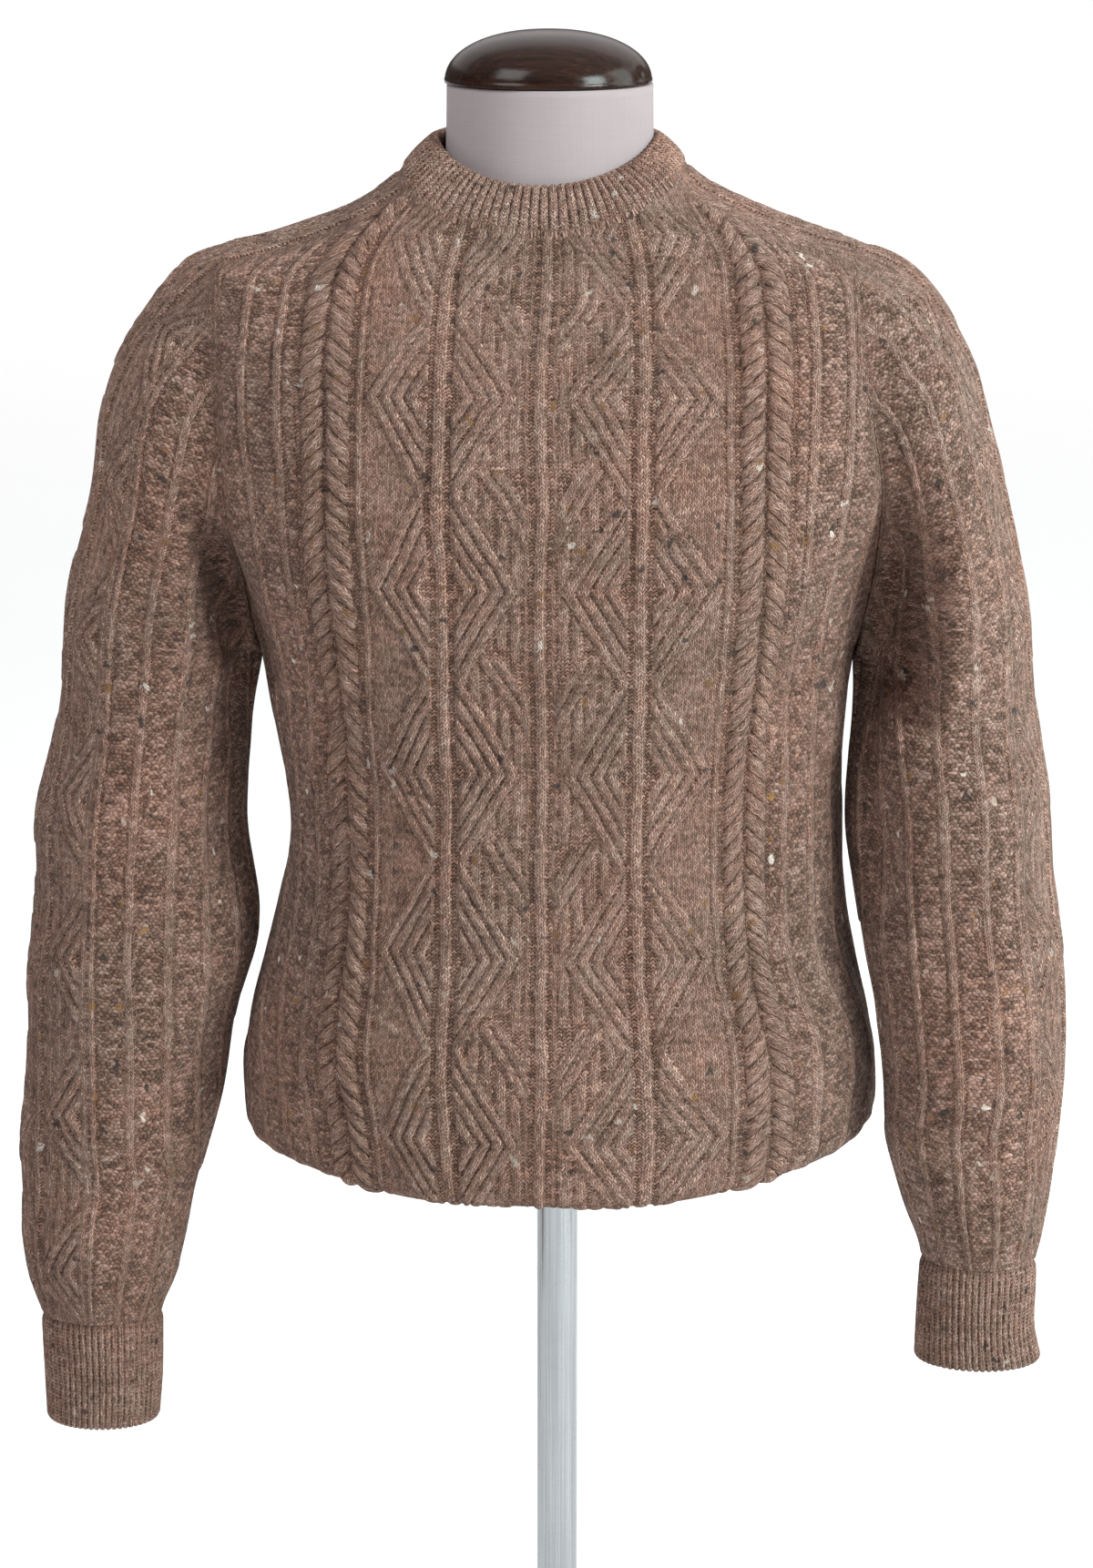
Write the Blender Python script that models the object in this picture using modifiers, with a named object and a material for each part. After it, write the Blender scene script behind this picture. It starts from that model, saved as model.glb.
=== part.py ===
"""A saddle-shoulder cable knit sweater worn on a limbless dress form with a stand.

Metres, +Z up. The wearer faces -Y, so the wearer's right is -X. The origin is
on the floor under the middle of the stand. Every piece of cloth is an open
surface with Solidify; the surfaces are worked out from the section tables.
"""

from collections import namedtuple
from math import pi

import bpy
import numpy as np

# ---------------------------------------------------------------- sizes
WALL = 0.0024            # knitted cloth, one layer
COLLAR_WALL = 0.0038     # rib collar, folded double
SEAM = 0.0003            # space between two pieces at a seam
MITRE = 0.0007           # how far an edge stands back where two walls meet at an angle
SEAM_WALL = 0.45         # share of the wall that is left in the flattened edge of a seam

HEM_Z = 0.397            # middle height of the turned hem
HEM_DROP = 0.014         # how far the fold hangs below that
HEM_SIDE_LIFT = 0.004    # the hem rides a little higher at the side seams
BAND_TOP = 0.450         # top of the rib band inside the hem
UNDERARM_Z = 0.678
CORNER_Z = 0.905         # where saddle, armhole and front panel meet
COLUMNS_FIXED_Z = 0.860  # above this the knit columns keep their width
NECK_FRONT_Z = 0.930     # collar seam, middle of the front
NECK_BACK_Z = 0.950
SADDLE_HALF = 0.047      # half of the saddle strap's width, at the armhole
SADDLE_NECK_HALF = 0.046

CAP_X = -0.0053
CAP_RADIUS = 0.0586
CAP_Z = 1.0043
CAP_HEIGHT = 0.0300
POLE_RADIUS = 0.0125
BASE_RADIUS = 0.150
BASE_HEIGHT = 0.022

NECK_COLUMNS, LOW_ROWS, ROLL_ROWS = 5, 10, 5
SLEEVE_COLUMNS, STRAP_ROWS, CAP_ROWS, TUBE_ROWS = 18, 5, 9, 13
CUFF_ROWS = 4
COLLAR_COLUMNS = 40
BAND_COLUMNS = 36
FORM_COLUMNS = 44

# -------------------------------------------------------- section tables
# Level sections of the body. right and left are the half widths on the
# wearer's right (-X) and left (+X), front and back the half depths, power the
# exponent of the oval. Above the underarm the widths run out into the sleeves
# and the armhole seam cuts them.
Section = namedtuple("Section", "z right left front back power")
BODY = [
    Section(0.383, 0.1820, 0.1850, 0.135, 0.128, 2.08),
    Section(0.410, 0.1840, 0.1865, 0.138, 0.131, 2.10),
    Section(0.435, 0.1830, 0.1860, 0.138, 0.131, 2.16),
    Section(0.457, 0.1795, 0.1835, 0.135, 0.128, 2.25),
    Section(0.480, 0.1755, 0.1790, 0.131, 0.123, 2.25),
    Section(0.502, 0.1700, 0.1745, 0.127, 0.119, 2.25),
    Section(0.535, 0.1615, 0.1685, 0.122, 0.113, 2.22),
    Section(0.579, 0.1540, 0.1650, 0.119, 0.109, 2.20),
    Section(0.622, 0.1595, 0.1650, 0.121, 0.112, 2.20),
    Section(0.678, 0.1710, 0.1705, 0.126, 0.119, 2.20),
    Section(0.720, 0.1880, 0.1860, 0.130, 0.123, 2.20),
    Section(0.760, 0.2020, 0.1990, 0.131, 0.125, 2.25),
    Section(0.800, 0.2120, 0.2060, 0.127, 0.124, 2.25),
    Section(0.840, 0.2180, 0.2080, 0.118, 0.119, 2.30),
    Section(0.870, 0.2200, 0.2080, 0.107, 0.112, 2.35),
    Section(0.890, 0.2190, 0.2060, 0.097, 0.104, 2.40),
    Section(0.905, 0.2130, 0.1960, 0.089, 0.097, 2.40),
    Section(0.918, 0.1770, 0.1640, 0.084, 0.092, 2.40),
    Section(0.928, 0.1450, 0.1380, 0.0805, 0.088, 2.40),
    Section(0.939, 0.1170, 0.1110, 0.0780, 0.084, 2.40),
    Section(0.949, 0.0990, 0.0910, 0.0760, 0.080, 2.40),
    Section(0.960, 0.0890, 0.0790, 0.0740, 0.077, 2.40),
]

# The rib band inside the hem lies round the hips of the form.
BAND = [
    Section(0.380, 0.1565, 0.1580, 0.1140, 0.1110, 2.30),
    Section(0.460, 0.1555, 0.1570, 0.1140, 0.1105, 2.30),
]

# The dress form, padded and covered, from its flat bottom to the neck.
FORM = [
    Section(0.402, 0.1470, 0.1490, 0.1050, 0.1020, 2.30),
    Section(0.407, 0.1500, 0.1520, 0.1080, 0.1050, 2.30),
    Section(0.450, 0.1500, 0.1520, 0.1085, 0.1055, 2.30),
    Section(0.500, 0.1480, 0.1520, 0.1100, 0.1040, 2.28),
    Section(0.540, 0.1460, 0.1530, 0.1105, 0.1020, 2.25),
    Section(0.579, 0.1450, 0.1550, 0.1105, 0.1010, 2.22),
    Section(0.622, 0.1500, 0.1560, 0.1130, 0.1040, 2.20),
    Section(0.678, 0.1600, 0.1600, 0.1180, 0.1110, 2.20),
    Section(0.720, 0.1660, 0.1650, 0.1210, 0.1150, 2.25),
    Section(0.760, 0.1690, 0.1670, 0.1220, 0.1170, 2.30),
    Section(0.800, 0.1700, 0.1670, 0.1175, 0.1155, 2.35),
    Section(0.840, 0.1700, 0.1650, 0.1080, 0.1095, 2.40),
    Section(0.865, 0.1690, 0.1620, 0.0985, 0.1035, 2.40),
    Section(0.883, 0.1640, 0.1560, 0.0890, 0.0950, 2.40),
    Section(0.896, 0.1500, 0.1420, 0.0810, 0.0880, 2.40),
    Section(0.908, 0.1230, 0.1170, 0.0755, 0.0825, 2.35),
    Section(0.919, 0.0980, 0.0920, 0.0720, 0.0775, 2.30),
    Section(0.930, 0.0780, 0.0690, 0.0645, 0.0680, 2.20),
    Section(0.944, 0.0675, 0.0585, 0.0605, 0.0625, 2.10),
    Section(0.960, 0.0635, 0.0545, 0.0588, 0.0600, 2.05),
    Section(0.980, 0.0628, 0.0540, 0.0585, 0.0592, 2.00),
    Section(1.0040, 0.0625, 0.0538, 0.0585, 0.0592, 2.00),
]

# Where the armhole seam lies, as a distance from the middle, on each side.
Armhole = namedtuple("Armhole", "z right left")
ARMHOLE = [
    Armhole(0.678, 0.1710, 0.1705),
    Armhole(0.700, 0.1765, 0.1755),
    Armhole(0.740, 0.1810, 0.1830),
    Armhole(0.780, 0.1835, 0.1850),
    Armhole(0.820, 0.1850, 0.1800),
    Armhole(0.860, 0.1870, 0.1730),
    Armhole(0.905, 0.1890, 0.1690),
]

# The saddle strap's middle line from the collar to the armhole.
Ridge = namedtuple("Ridge", "right_x right_z left_x left_z")
RIDGE = [
    Ridge(0.0905, 0.9585, 0.0755, 0.9600),
    Ridge(0.1000, 0.9505, 0.0890, 0.9500),
    Ridge(0.1170, 0.9410, 0.1110, 0.9400),
    Ridge(0.1450, 0.9310, 0.1390, 0.9300),
    Ridge(0.1900, 0.9155, 0.1690, 0.9195),
]

# The sleeve cap's outer line from the saddle's end to the underarm level.
CapLine = namedtuple("CapLine", "right_x right_z left_x left_z half_depth")
CAP_LINE = [
    CapLine(0.1900, 0.9155, 0.1690, 0.9195, 0.048),
    CapLine(0.2090, 0.9080, 0.1930, 0.9080, 0.058),
    CapLine(0.2230, 0.8960, 0.2080, 0.8960, 0.064),
    CapLine(0.2400, 0.8720, 0.2260, 0.8720, 0.070),
    CapLine(0.2530, 0.8420, 0.2400, 0.8420, 0.074),
    CapLine(0.2650, 0.7930, 0.2525, 0.7930, 0.075),
    CapLine(0.2765, 0.7400, 0.2640, 0.7400, 0.074),
    CapLine(0.2875, 0.6780, 0.2740, 0.6780, 0.072),
]

# The hanging sleeves below the underarm: outer and inner distance from the
# middle, where the sleeve's axis lies in y, and its depth front to back.
Tube = namedtuple("Tube", "z outer inner y depth")
SLEEVE_RIGHT = [
    Tube(0.678, 0.2880, 0.1710, -0.001, 0.144),
    Tube(0.634, 0.2945, 0.1790, -0.005, 0.138),
    Tube(0.581, 0.3025, 0.1795, -0.010, 0.130),
    Tube(0.527, 0.3075, 0.1765, -0.014, 0.124),
    Tube(0.473, 0.3100, 0.1850, -0.018, 0.118),
    Tube(0.418, 0.3130, 0.1955, -0.021, 0.110),
    Tube(0.364, 0.3155, 0.2080, -0.024, 0.102),
    Tube(0.338, 0.3155, 0.2145, -0.025, 0.096),
    Tube(0.307, 0.3110, 0.2260, -0.026, 0.080),
    Tube(0.292, 0.3070, 0.2310, -0.027, 0.070),
    Tube(0.282, 0.3050, 0.2340, -0.027, 0.062),
]
SLEEVE_LEFT = [
    Tube(0.678, 0.2735, 0.1705, -0.001, 0.144),
    Tube(0.635, 0.2795, 0.1700, -0.010, 0.136),
    Tube(0.584, 0.2870, 0.1695, -0.020, 0.128),
    Tube(0.531, 0.2915, 0.1745, -0.028, 0.122),
    Tube(0.481, 0.2940, 0.1865, -0.034, 0.114),
    Tube(0.436, 0.2955, 0.1900, -0.037, 0.108),
    Tube(0.402, 0.2950, 0.1925, -0.038, 0.103),
    Tube(0.370, 0.2905, 0.2020, -0.037, 0.094),
    Tube(0.352, 0.2870, 0.2085, -0.036, 0.084),
    Tube(0.338, 0.2835, 0.2135, -0.035, 0.071),
    Tube(0.329, 0.2815, 0.2155, -0.035, 0.062),
]
CUFF_RIGHT = [
    Tube(0.2815, 0.3050, 0.2340, -0.027, 0.062),
    Tube(0.250, 0.3040, 0.2345, -0.028, 0.057),
    Tube(0.218, 0.3030, 0.2370, -0.028, 0.056),
]
CUFF_LEFT = [
    Tube(0.3285, 0.2815, 0.2155, -0.035, 0.062),
    Tube(0.300, 0.2830, 0.2140, -0.035, 0.057),
    Tube(0.269, 0.2870, 0.2130, -0.035, 0.058),
]

# Soft folds in the sleeves: how far down the sleeve and round it from the
# outer line (0) to the front (-1) or back (+1), and the size of the trough.
Fold = namedtuple("Fold", "z around depth height width lean")
FOLDS = [
    Fold(0.735, -0.62, 0.0060, 0.070, 0.10, -2.2),
    Fold(0.690, 0.60, 0.0055, 0.065, 0.10, 2.0),
    Fold(0.560, -0.80, 0.0030, 0.045, 0.16, 0.0),
    Fold(0.470, 0.75, 0.0030, 0.050, 0.16, 0.0),
]


# ------------------------------------------------------------ arithmetic
def smooth(x, xs, ys):
    """Values of ys at x on a monotone cubic through (xs, ys)."""
    xs, ys = np.asarray(xs, float), np.asarray(ys, float)
    if xs[0] > xs[-1]:
        xs, ys = xs[::-1], ys[::-1]
    h, d = np.diff(xs), np.diff(ys) / np.diff(xs)
    m = np.zeros_like(ys)
    m[0], m[-1] = d[0], d[-1]
    for i in range(1, len(xs) - 1):
        if d[i - 1] * d[i] > 0:
            a, b = 2 * h[i] + h[i - 1], h[i] + 2 * h[i - 1]
            m[i] = (a + b) / (a / d[i - 1] + b / d[i])
    x = np.clip(np.asarray(x, float), xs[0], xs[-1])
    k = np.clip(np.searchsorted(xs, x) - 1, 0, len(h) - 1)
    t = (x - xs[k]) / h[k]
    return (
        ys[k] * (1 + 2 * t) * (1 - t) ** 2
        + m[k] * h[k] * t * (1 - t) ** 2
        + ys[k + 1] * t * t * (3 - 2 * t)
        + m[k + 1] * h[k] * t * t * (t - 1)
    )


def column(table, name):
    return [getattr(row, name) for row in table]


def read(table, name, z):
    return smooth(z, column(table, "z"), column(table, name))


def step(x):
    x = np.clip(x, 0, 1)
    return x * x * (3 - 2 * x)


def arc_lengths(points):
    d = np.linalg.norm(np.diff(points, axis=0), axis=1)
    return np.concatenate([[0], np.cumsum(d)])


def along(points, values, at):
    """The point of a polyline where the running value reaches at."""
    return np.stack([np.interp(at, values, points[:, k]) for k in range(points.shape[1])], -1)


# -------------------------------------------------------------- the body
def oval(table, z, side, face, angles):
    """Points of a quarter section. angles run from the middle of the front
    or back (0) to the side (pi/2); side is -1 or 1 in x, face -1 or 1 in y."""
    a = read(table, "right" if side < 0 else "left", z)
    b = read(table, "front" if face < 0 else "back", z)
    n = read(table, "power", z)
    c, s = np.cos(angles), np.sin(angles)
    x = side * a * np.abs(s) ** (2 / n)
    y = face * b * np.abs(c) ** (2 / n)
    return np.stack([x, y], -1)


QUARTER = (np.linspace(0, 1, 181) ** 1.0) * (pi / 2)


def half_width(z, side):
    """Length of the quarter section at z, with a fixed value above the
    level where the knit columns stop widening."""
    z = np.minimum(z, COLUMNS_FIXED_Z)
    return arc_lengths(oval(BODY, z, side, -1, QUARTER))[-1]


def edge_arc(z, side, face):
    """Distance round the section from the middle to the panel's edge: the
    side seam below the underarm and the armhole seam above it."""
    q = oval(BODY, z, side, face, QUARTER)
    s = arc_lengths(q)
    if z <= UNDERARM_Z:
        return s[-1]
    return float(np.interp(armhole_x(z, side), np.abs(q[:, 0]), s))


def armhole_x(z, side):
    return float(read(ARMHOLE, "right" if side < 0 else "left", z))


def body_point(z, side, face, arc):
    q = oval(BODY, z, side, face, QUARTER)
    x, y = along(q, arc_lengths(q), arc)
    return np.array([x, y, z])


def seam_point(z, side, face):
    """A point of the armhole seam."""
    return body_point(z, side, face, edge_arc(z, side, face))


def saddle_line(side, face, n=24):
    """The seam between a panel and the saddle strap, armhole to collar."""
    ridge_x = np.array(column(RIDGE, "right_x" if side < 0 else "left_x"))
    ridge_z = np.array(column(RIDGE, "right_z" if side < 0 else "left_z"))
    corner = armhole_x(CORNER_Z, side)
    points = []
    for f in np.linspace(0, 1, n):
        x = corner + (ridge_x[0] - 0.006 - corner) * f
        y = SADDLE_HALF + (SADDLE_NECK_HALF - SADDLE_HALF) * f
        low, high = 0.85, float(smooth(x, ridge_x, ridge_z))
        for _ in range(40):  # the level whose section passes through (x, y)
            z = (low + high) / 2
            a = read(BODY, "right" if side < 0 else "left", z)
            b = read(BODY, "front" if face < 0 else "back", z)
            n_ = read(BODY, "power", z)
            inside = (x / a) ** n_ + (y / b) ** n_ < 1
            low, high = (z, high) if inside else (low, z)
        points.append((side * x, face * y, z))
    return np.array(points)


def neck_line(side, face, n=14):
    """The collar seam from the saddle strap to the middle."""
    start = saddle_line(side, face)[-1]
    middle = NECK_FRONT_Z if face < 0 else NECK_BACK_Z
    points = []
    for f in np.linspace(0, 1, n):
        x = abs(start[0]) * np.cos(f * pi / 2)
        z = middle + (start[2] - middle) * (x / abs(start[0])) ** 2.0
        a = read(BODY, "right" if side < 0 else "left", z)
        b = read(BODY, "front" if face < 0 else "back", z)
        n_ = read(BODY, "power", z)
        y = b * max(0.0, 1 - (x / a) ** n_) ** (1 / n_)
        points.append((side * x, face * y, z))
    return np.array(points)


def panel_top(side, face):
    """The panel's top edge from the middle to the armhole corner, as arc
    distances and levels."""
    line = np.concatenate([saddle_line(side, face)[:-1], neck_line(side, face)])[::-1]
    arcs = []
    for x, y, z in line:
        q = oval(BODY, z, side, face, QUARTER)
        arcs.append(float(np.interp(abs(x), np.abs(q[:, 0]), arc_lengths(q))))
    return np.array(arcs), line[:, 2]


def strap_places():
    """The strap's rows from the collar (0) to the armhole (1)."""
    return np.append(0.004 + 0.996 * np.arange(STRAP_ROWS) / STRAP_ROWS, 1.0)


def column_shares(side, face):
    """Where the panel's columns stand from the middle (0) to its edge (1).
    Those over the saddle end at the points of the strap's rows."""
    line = saddle_line(side, face)[::-1]
    at = arc_lengths(line)
    shares = []
    for x, y, z in along(line, at, strap_places() * at[-1]):
        q = oval(BODY, z, side, face, QUARTER)
        shares.append(float(np.interp(abs(x), np.abs(q[:, 0]), arc_lengths(q))))
    shares = np.array(shares) / shares[-1]
    return np.concatenate([np.linspace(0, shares[0], NECK_COLUMNS + 1)[:-1], shares])


def row_shares(side, face):
    """How far up the panel's edge its rows are, from the hem (0) to the
    armhole corner (1). Above the underarm they are those of the sleeve."""
    low = HEM_Z + HEM_SIDE_LIFT
    z = np.linspace(CORNER_Z, UNDERARM_Z, 80)
    seam = np.array([seam_point(k, side, face) for k in z])
    at = arc_lengths(seam)
    upper = np.interp(np.arange(CAP_ROWS + 1) / CAP_ROWS * at[-1], at, z)[::-1]
    levels = np.concatenate([np.linspace(low, UNDERARM_Z, LOW_ROWS + 1)[:-1], upper])
    return (levels - low) / (CORNER_Z - low)


def panel_grid(face, roll_rows, seam=2.5 * SEAM):
    """The outer surface of the front (face -1) or back (+1) panel, as an
    array of points [row, column], from the seam inside the hem to the top."""
    shares = {side: column_shares(side, face) for side in (-1, 1)}
    half = len(shares[1]) - 1
    climb = {side: row_shares(side, face) for side in (-1, 1)}
    rows = len(climb[1]) - 1
    grid = np.zeros((roll_rows + rows + 1, 2 * half + 1, 3))
    for i in range(2 * half + 1):
        side = -1 if i < half else 1
        share = float(shares[side][abs(i - half)])
        q = oval(BODY, HEM_Z, side, face, QUARTER)
        arcs = arc_lengths(q)
        outer = along(q, arcs, share * (arcs[-1] - seam))
        p = oval(BAND, HEM_Z, side, face, QUARTER)
        inner = along(p, arc_lengths(p), share * (arc_lengths(p)[-1] - seam))
        for j in range(roll_rows):  # the turned hem, inside to outside
            beta = pi * (0.93 - 0.93 * j / roll_rows)
            w = (1 - np.cos(beta)) / 2
            grid[j, i, :2] = outer * (1 - w) + inner * w
            grid[j, i, 2] = HEM_Z + HEM_SIDE_LIFT * share**2 - HEM_DROP * np.sin(beta)
        top_arc, top_z = panel_top(side, face)
        corner = edge_arc(CORNER_Z, side, face)
        z_top = float(np.interp(share * corner, top_arc, top_z))
        low = HEM_Z + HEM_SIDE_LIFT * share**2
        for j in range(rows + 1):
            z = low + (z_top - low) * climb[side][j]
            back = seam if j <= LOW_ROWS else 0.0
            grid[roll_rows + j, i] = body_point(z, side, face, share * (edge_arc(min(z, CORNER_Z), side, face) - back))
    # The edges stand back from the sleeves, the straps and the collar.
    for j in range(roll_rows + LOW_ROWS + 1, roll_rows + rows + 1):
        for edge, inner in ((0, 1), (-1, -2)):
            stand_back(grid, (j, edge), (j, inner), MITRE)
    for i in range(2 * half + 1):
        place = (abs(i - half) - NECK_COLUMNS) / STRAP_ROWS  # 1 at the armhole corner, the sharpest
        stand_back(grid, (-1, i), (-2, i), MITRE * (1 + 8.6 * step((place - 0.25) / 0.45)) if place > 0 else 5 * SEAM)
    return grid


def stand_back(grid, edge, inner, gap):
    """Moves an edge point of the grid towards the point inside it."""
    d = grid[inner] - grid[edge]
    grid[edge] += d / np.linalg.norm(d) * gap


# ------------------------------------------------------------ the sleeves
def sleeve_row(front, back, outer, half_front, half_back, flat, around):
    """One row round the sleeve. around runs from the front seam (-1) over
    the outer line (0) to the back seam (1)."""
    out = np.zeros((len(around), 3))
    for k, w in enumerate(around):
        face, seam_at, half = (-1, front, half_front) if w < 0 else (1, back, half_back)
        u = 1 - abs(w)
        reach = face * (seam_at[1] - outer[1])
        half = max(half, reach * 1.0001, 1e-6)
        start = np.arcsin(np.clip(reach / half, 0, 1))
        phi = start + (pi - start) * u
        o = (np.cos(start) - np.cos(phi)) / (np.cos(start) + 1)
        y = outer[1] + face * half * np.sin(phi)
        o = o * (1 - flat) + (1 - (1 - u) ** 2) * flat
        y = y * (1 - flat) + (seam_at[1] + (outer[1] - seam_at[1]) * u) * flat
        p = seam_at + (outer - seam_at) * o
        out[k] = p[0], y, p[2]
    return out


def sleeve_lines(side):
    """Functions that give a row's seam points, outer point and depths."""
    name = "right" if side < 0 else "left"
    tube = SLEEVE_RIGHT if side < 0 else SLEEVE_LEFT
    rx, rz = np.array(column(RIDGE, name + "_x")), np.array(column(RIDGE, name + "_z"))
    front, back = saddle_line(side, -1)[::-1], saddle_line(side, 1)[::-1]
    f_arc, b_arc = arc_lengths(front), arc_lengths(back)
    ridge = np.stack([side * rx, 0 * rx, rz], -1)
    r_fine = np.stack(
        [side * np.linspace(rx[0], rx[-1], 60), np.zeros(60), smooth(np.linspace(rx[0], rx[-1], 60), rx, rz)], -1
    )
    r_arc = arc_lengths(r_fine)
    seam_z = np.linspace(CORNER_Z, UNDERARM_Z, 80)
    seam_f = np.array([seam_point(z, side, -1) for z in seam_z])
    seam_b = np.array([seam_point(z, side, 1) for z in seam_z])
    seam_f[-1, 1] = seam_b[-1, 1] = tube[0].y
    sf_arc, sb_arc = arc_lengths(seam_f), arc_lengths(seam_b)
    cx, cz = np.array(column(CAP_LINE, name + "_x")), np.array(column(CAP_LINE, name + "_z"))
    cap = np.stack([side * cx, np.zeros(len(cx)), cz], -1)
    c_arc = arc_lengths(cap)
    c_depth = np.array(column(CAP_LINE, "half_depth"))

    def strap(f):
        """f from 0 at the collar to 1 at the armhole."""
        a = along(front, f_arc, f * f_arc[-1])
        b = along(back, b_arc, f * b_arc[-1])
        o = along(r_fine, r_arc, f * r_arc[-1])
        return a, b, o, abs(a[1]), abs(b[1]), 1.0

    def cap_row(f):
        """f from 0 at the saddle's end to 1 at the underarm."""
        a = along(seam_f, sf_arc, f * sf_arc[-1])
        b = along(seam_b, sb_arc, f * sb_arc[-1])
        s = f * c_arc[-1]
        o = np.array([smooth(s, c_arc, cap[:, k]) for k in range(3)])
        o[1] = tube[0].y * f
        h = float(smooth(s, c_arc, c_depth))
        return a, b, o, h, h, float(1 - step(f / 0.30))

    def tube_row(z, table=tube):
        outer, inner = read(table, "outer", z), read(table, "inner", z)
        y, h = read(table, "y", z), read(table, "depth", z) / 2
        i = np.array([side * inner, y, z], float)
        o = np.array([side * outer, y, z], float)
        return i, i, o, float(h), float(h), 0.0

    return strap, cap_row, tube_row


def folded(points, around, sewn=False):
    """Pushes the soft folds into a row of sleeve points. A sewn row keeps its
    ends, which lie on the armhole seam."""
    hold = step((1 - np.abs(around)) / 0.14) if sewn else 1.0
    for fold in FOLDS:
        middle = fold.around + fold.lean * (points[:, 2] - fold.z)
        across = (around - middle) / fold.width
        down = (points[:, 2] - fold.z) / fold.height
        dent = fold.depth * np.exp(-(across**2) - down**2) * hold
        centre = points.mean(0)
        away = points - centre
        away[:, 2] = 0
        size = np.linalg.norm(away, axis=1, keepdims=True)
        points = points - away / np.maximum(size, 1e-6) * dent[:, None]
    return points


def sleeve_grid(side, columns, cap_rows, tube_rows):
    """Rows of points from the collar down; the rows from the underarm on
    close on themselves."""
    strap, cap_row, tube_row = sleeve_lines(side)
    table = SLEEVE_RIGHT if side < 0 else SLEEVE_LEFT
    around = np.linspace(-1, 1, columns + 1)
    rows = []
    for f in strap_places()[:-1]:
        rows.append(sleeve_row(*strap(f), around))
    for j in range(cap_rows):
        f = j / cap_rows
        rows.append(folded(sleeve_row(*cap_row(f), around), around, sewn=True))
    open_rows = len(rows)
    for j in range(tube_rows + 1):
        z = UNDERARM_Z + (table[-1].z - UNDERARM_Z) * (j / tube_rows)
        rows.append(folded(sleeve_row(*tube_row(z), around), around))
    grid = np.array(rows)
    # The edge columns stand back from the panels they are sewn to.
    for j in range(open_rows):
        gap = MITRE * (1 + 4.6 * np.exp(-(((j - STRAP_ROWS) / 1.5) ** 2)))
        for edge, inner in ((0, 1), (-1, -2)):
            stand_back(grid, (j, edge), (j, inner), gap)
    grid[open_rows, (0, -1), 0] += side * 2 * SEAM
    return grid, open_rows


# ------------------------------------------------------------ the collar
Ring = namedtuple("Ring", "front side_z back x half_right half_left half_front half_back")
COLLAR_TOP = Ring(0.9510, 0.9750, 0.9785, -0.0062, 0.0660, 0.0655, 0.0655, 0.0660)


def collar_base(n=40):
    """The collar seam all the way round, from the middle of the front."""
    parts = []
    for side in (1, -1):
        strap, _, _ = sleeve_lines(side)
        a, b, o, ha, hb, flat = strap(0.0)
        over = sleeve_row(a, b, o, ha, hb, flat, np.linspace(-1, 1, 13))
        front = neck_line(side, -1)[::-1]
        back = neck_line(side, 1)
        half = np.concatenate([front[:-1], over, back[1:]])
        parts.append(half if side > 0 else half[::-1])
    ring = np.concatenate([parts[0], parts[1][1:-1]])
    closed = np.concatenate([ring, ring[:1]])
    s = arc_lengths(closed)
    return along(closed, s, np.linspace(0, s[-1], n, endpoint=False))


def collar_top(base):
    """The top edge above each point of the base."""
    t = COLLAR_TOP
    out = np.zeros_like(base)
    angle = np.arctan2(base[:, 0] - t.x, -base[:, 1])
    c, s = np.cos(angle), np.sin(angle)
    out[:, 0] = t.x + np.where(s > 0, t.half_left, t.half_right) * s
    out[:, 1] = -np.where(c > 0, t.half_front, t.half_back) * c
    out[:, 2] = t.side_z + np.where(
        c > 0, (t.front - t.side_z) * np.abs(c) ** 1.6, (t.back - t.side_z) * c * c
    )
    return out


def collar_grid(columns, rows):
    base = collar_base(columns)
    top = collar_top(base)
    grid = []
    for j in range(rows + 1):
        f = j / rows
        # hollow near the seam, upright near the top
        p = base + (top - base) * f
        lift = np.linalg.norm((top - base)[:, :2], axis=1) * 0.05 * np.sin(pi * f)
        inward = -(p - np.array([COLLAR_TOP.x, 0, 0])) * [1, 1, 0]
        inward /= np.linalg.norm(inward, axis=1, keepdims=True)
        grid.append(p + inward * lift[:, None])
    return np.array(grid)


# -------------------------------------------------------------- building
def material(name, colour, roughness, metallic=0.0):
    m = bpy.data.materials.new(name)
    m.use_nodes = True
    shader = m.node_tree.nodes["Principled BSDF"]
    shader.inputs["Base Color"].default_value = (*colour, 1)
    shader.inputs["Roughness"].default_value = roughness
    shader.inputs["Metallic"].default_value = metallic
    return m


def add(name, points, faces, mat, home, smooth_angle=60):
    mesh = bpy.data.meshes.new(name)
    mesh.from_pydata([tuple(map(float, p)) for p in points], [], faces)
    mesh.validate()
    mesh.update()
    mesh.shade_smooth()
    mesh.set_sharp_from_angle(angle=smooth_angle * pi / 180)
    ob = bpy.data.objects.new(name, mesh)
    ob.data.materials.append(mat)
    home.objects.link(ob)
    return ob


def grid_faces(rows, columns, wrap_from=None, flip=False):
    """Quads of a grid of (rows+1) x (columns+1) points; from row wrap_from
    on, the last column is the first."""

    def index(j, i):
        if wrap_from is not None and j >= wrap_from and i == columns:
            i = 0
        return j * (columns + 1) + i

    faces = []
    for j in range(rows):
        for i in range(columns):
            quad = [index(j, i), index(j, i + 1), index(j + 1, i + 1), index(j + 1, i)]
            quad = [q for k, q in enumerate(quad) if q not in quad[:k]]
            faces.append(quad[::-1] if flip else quad)
    return faces


def only_used(points, faces):
    used = sorted({k for f in faces for k in f})
    new = {old: k for k, old in enumerate(used)}
    return [points[k] for k in used], [[new[k] for k in f] for f in faces]


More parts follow.
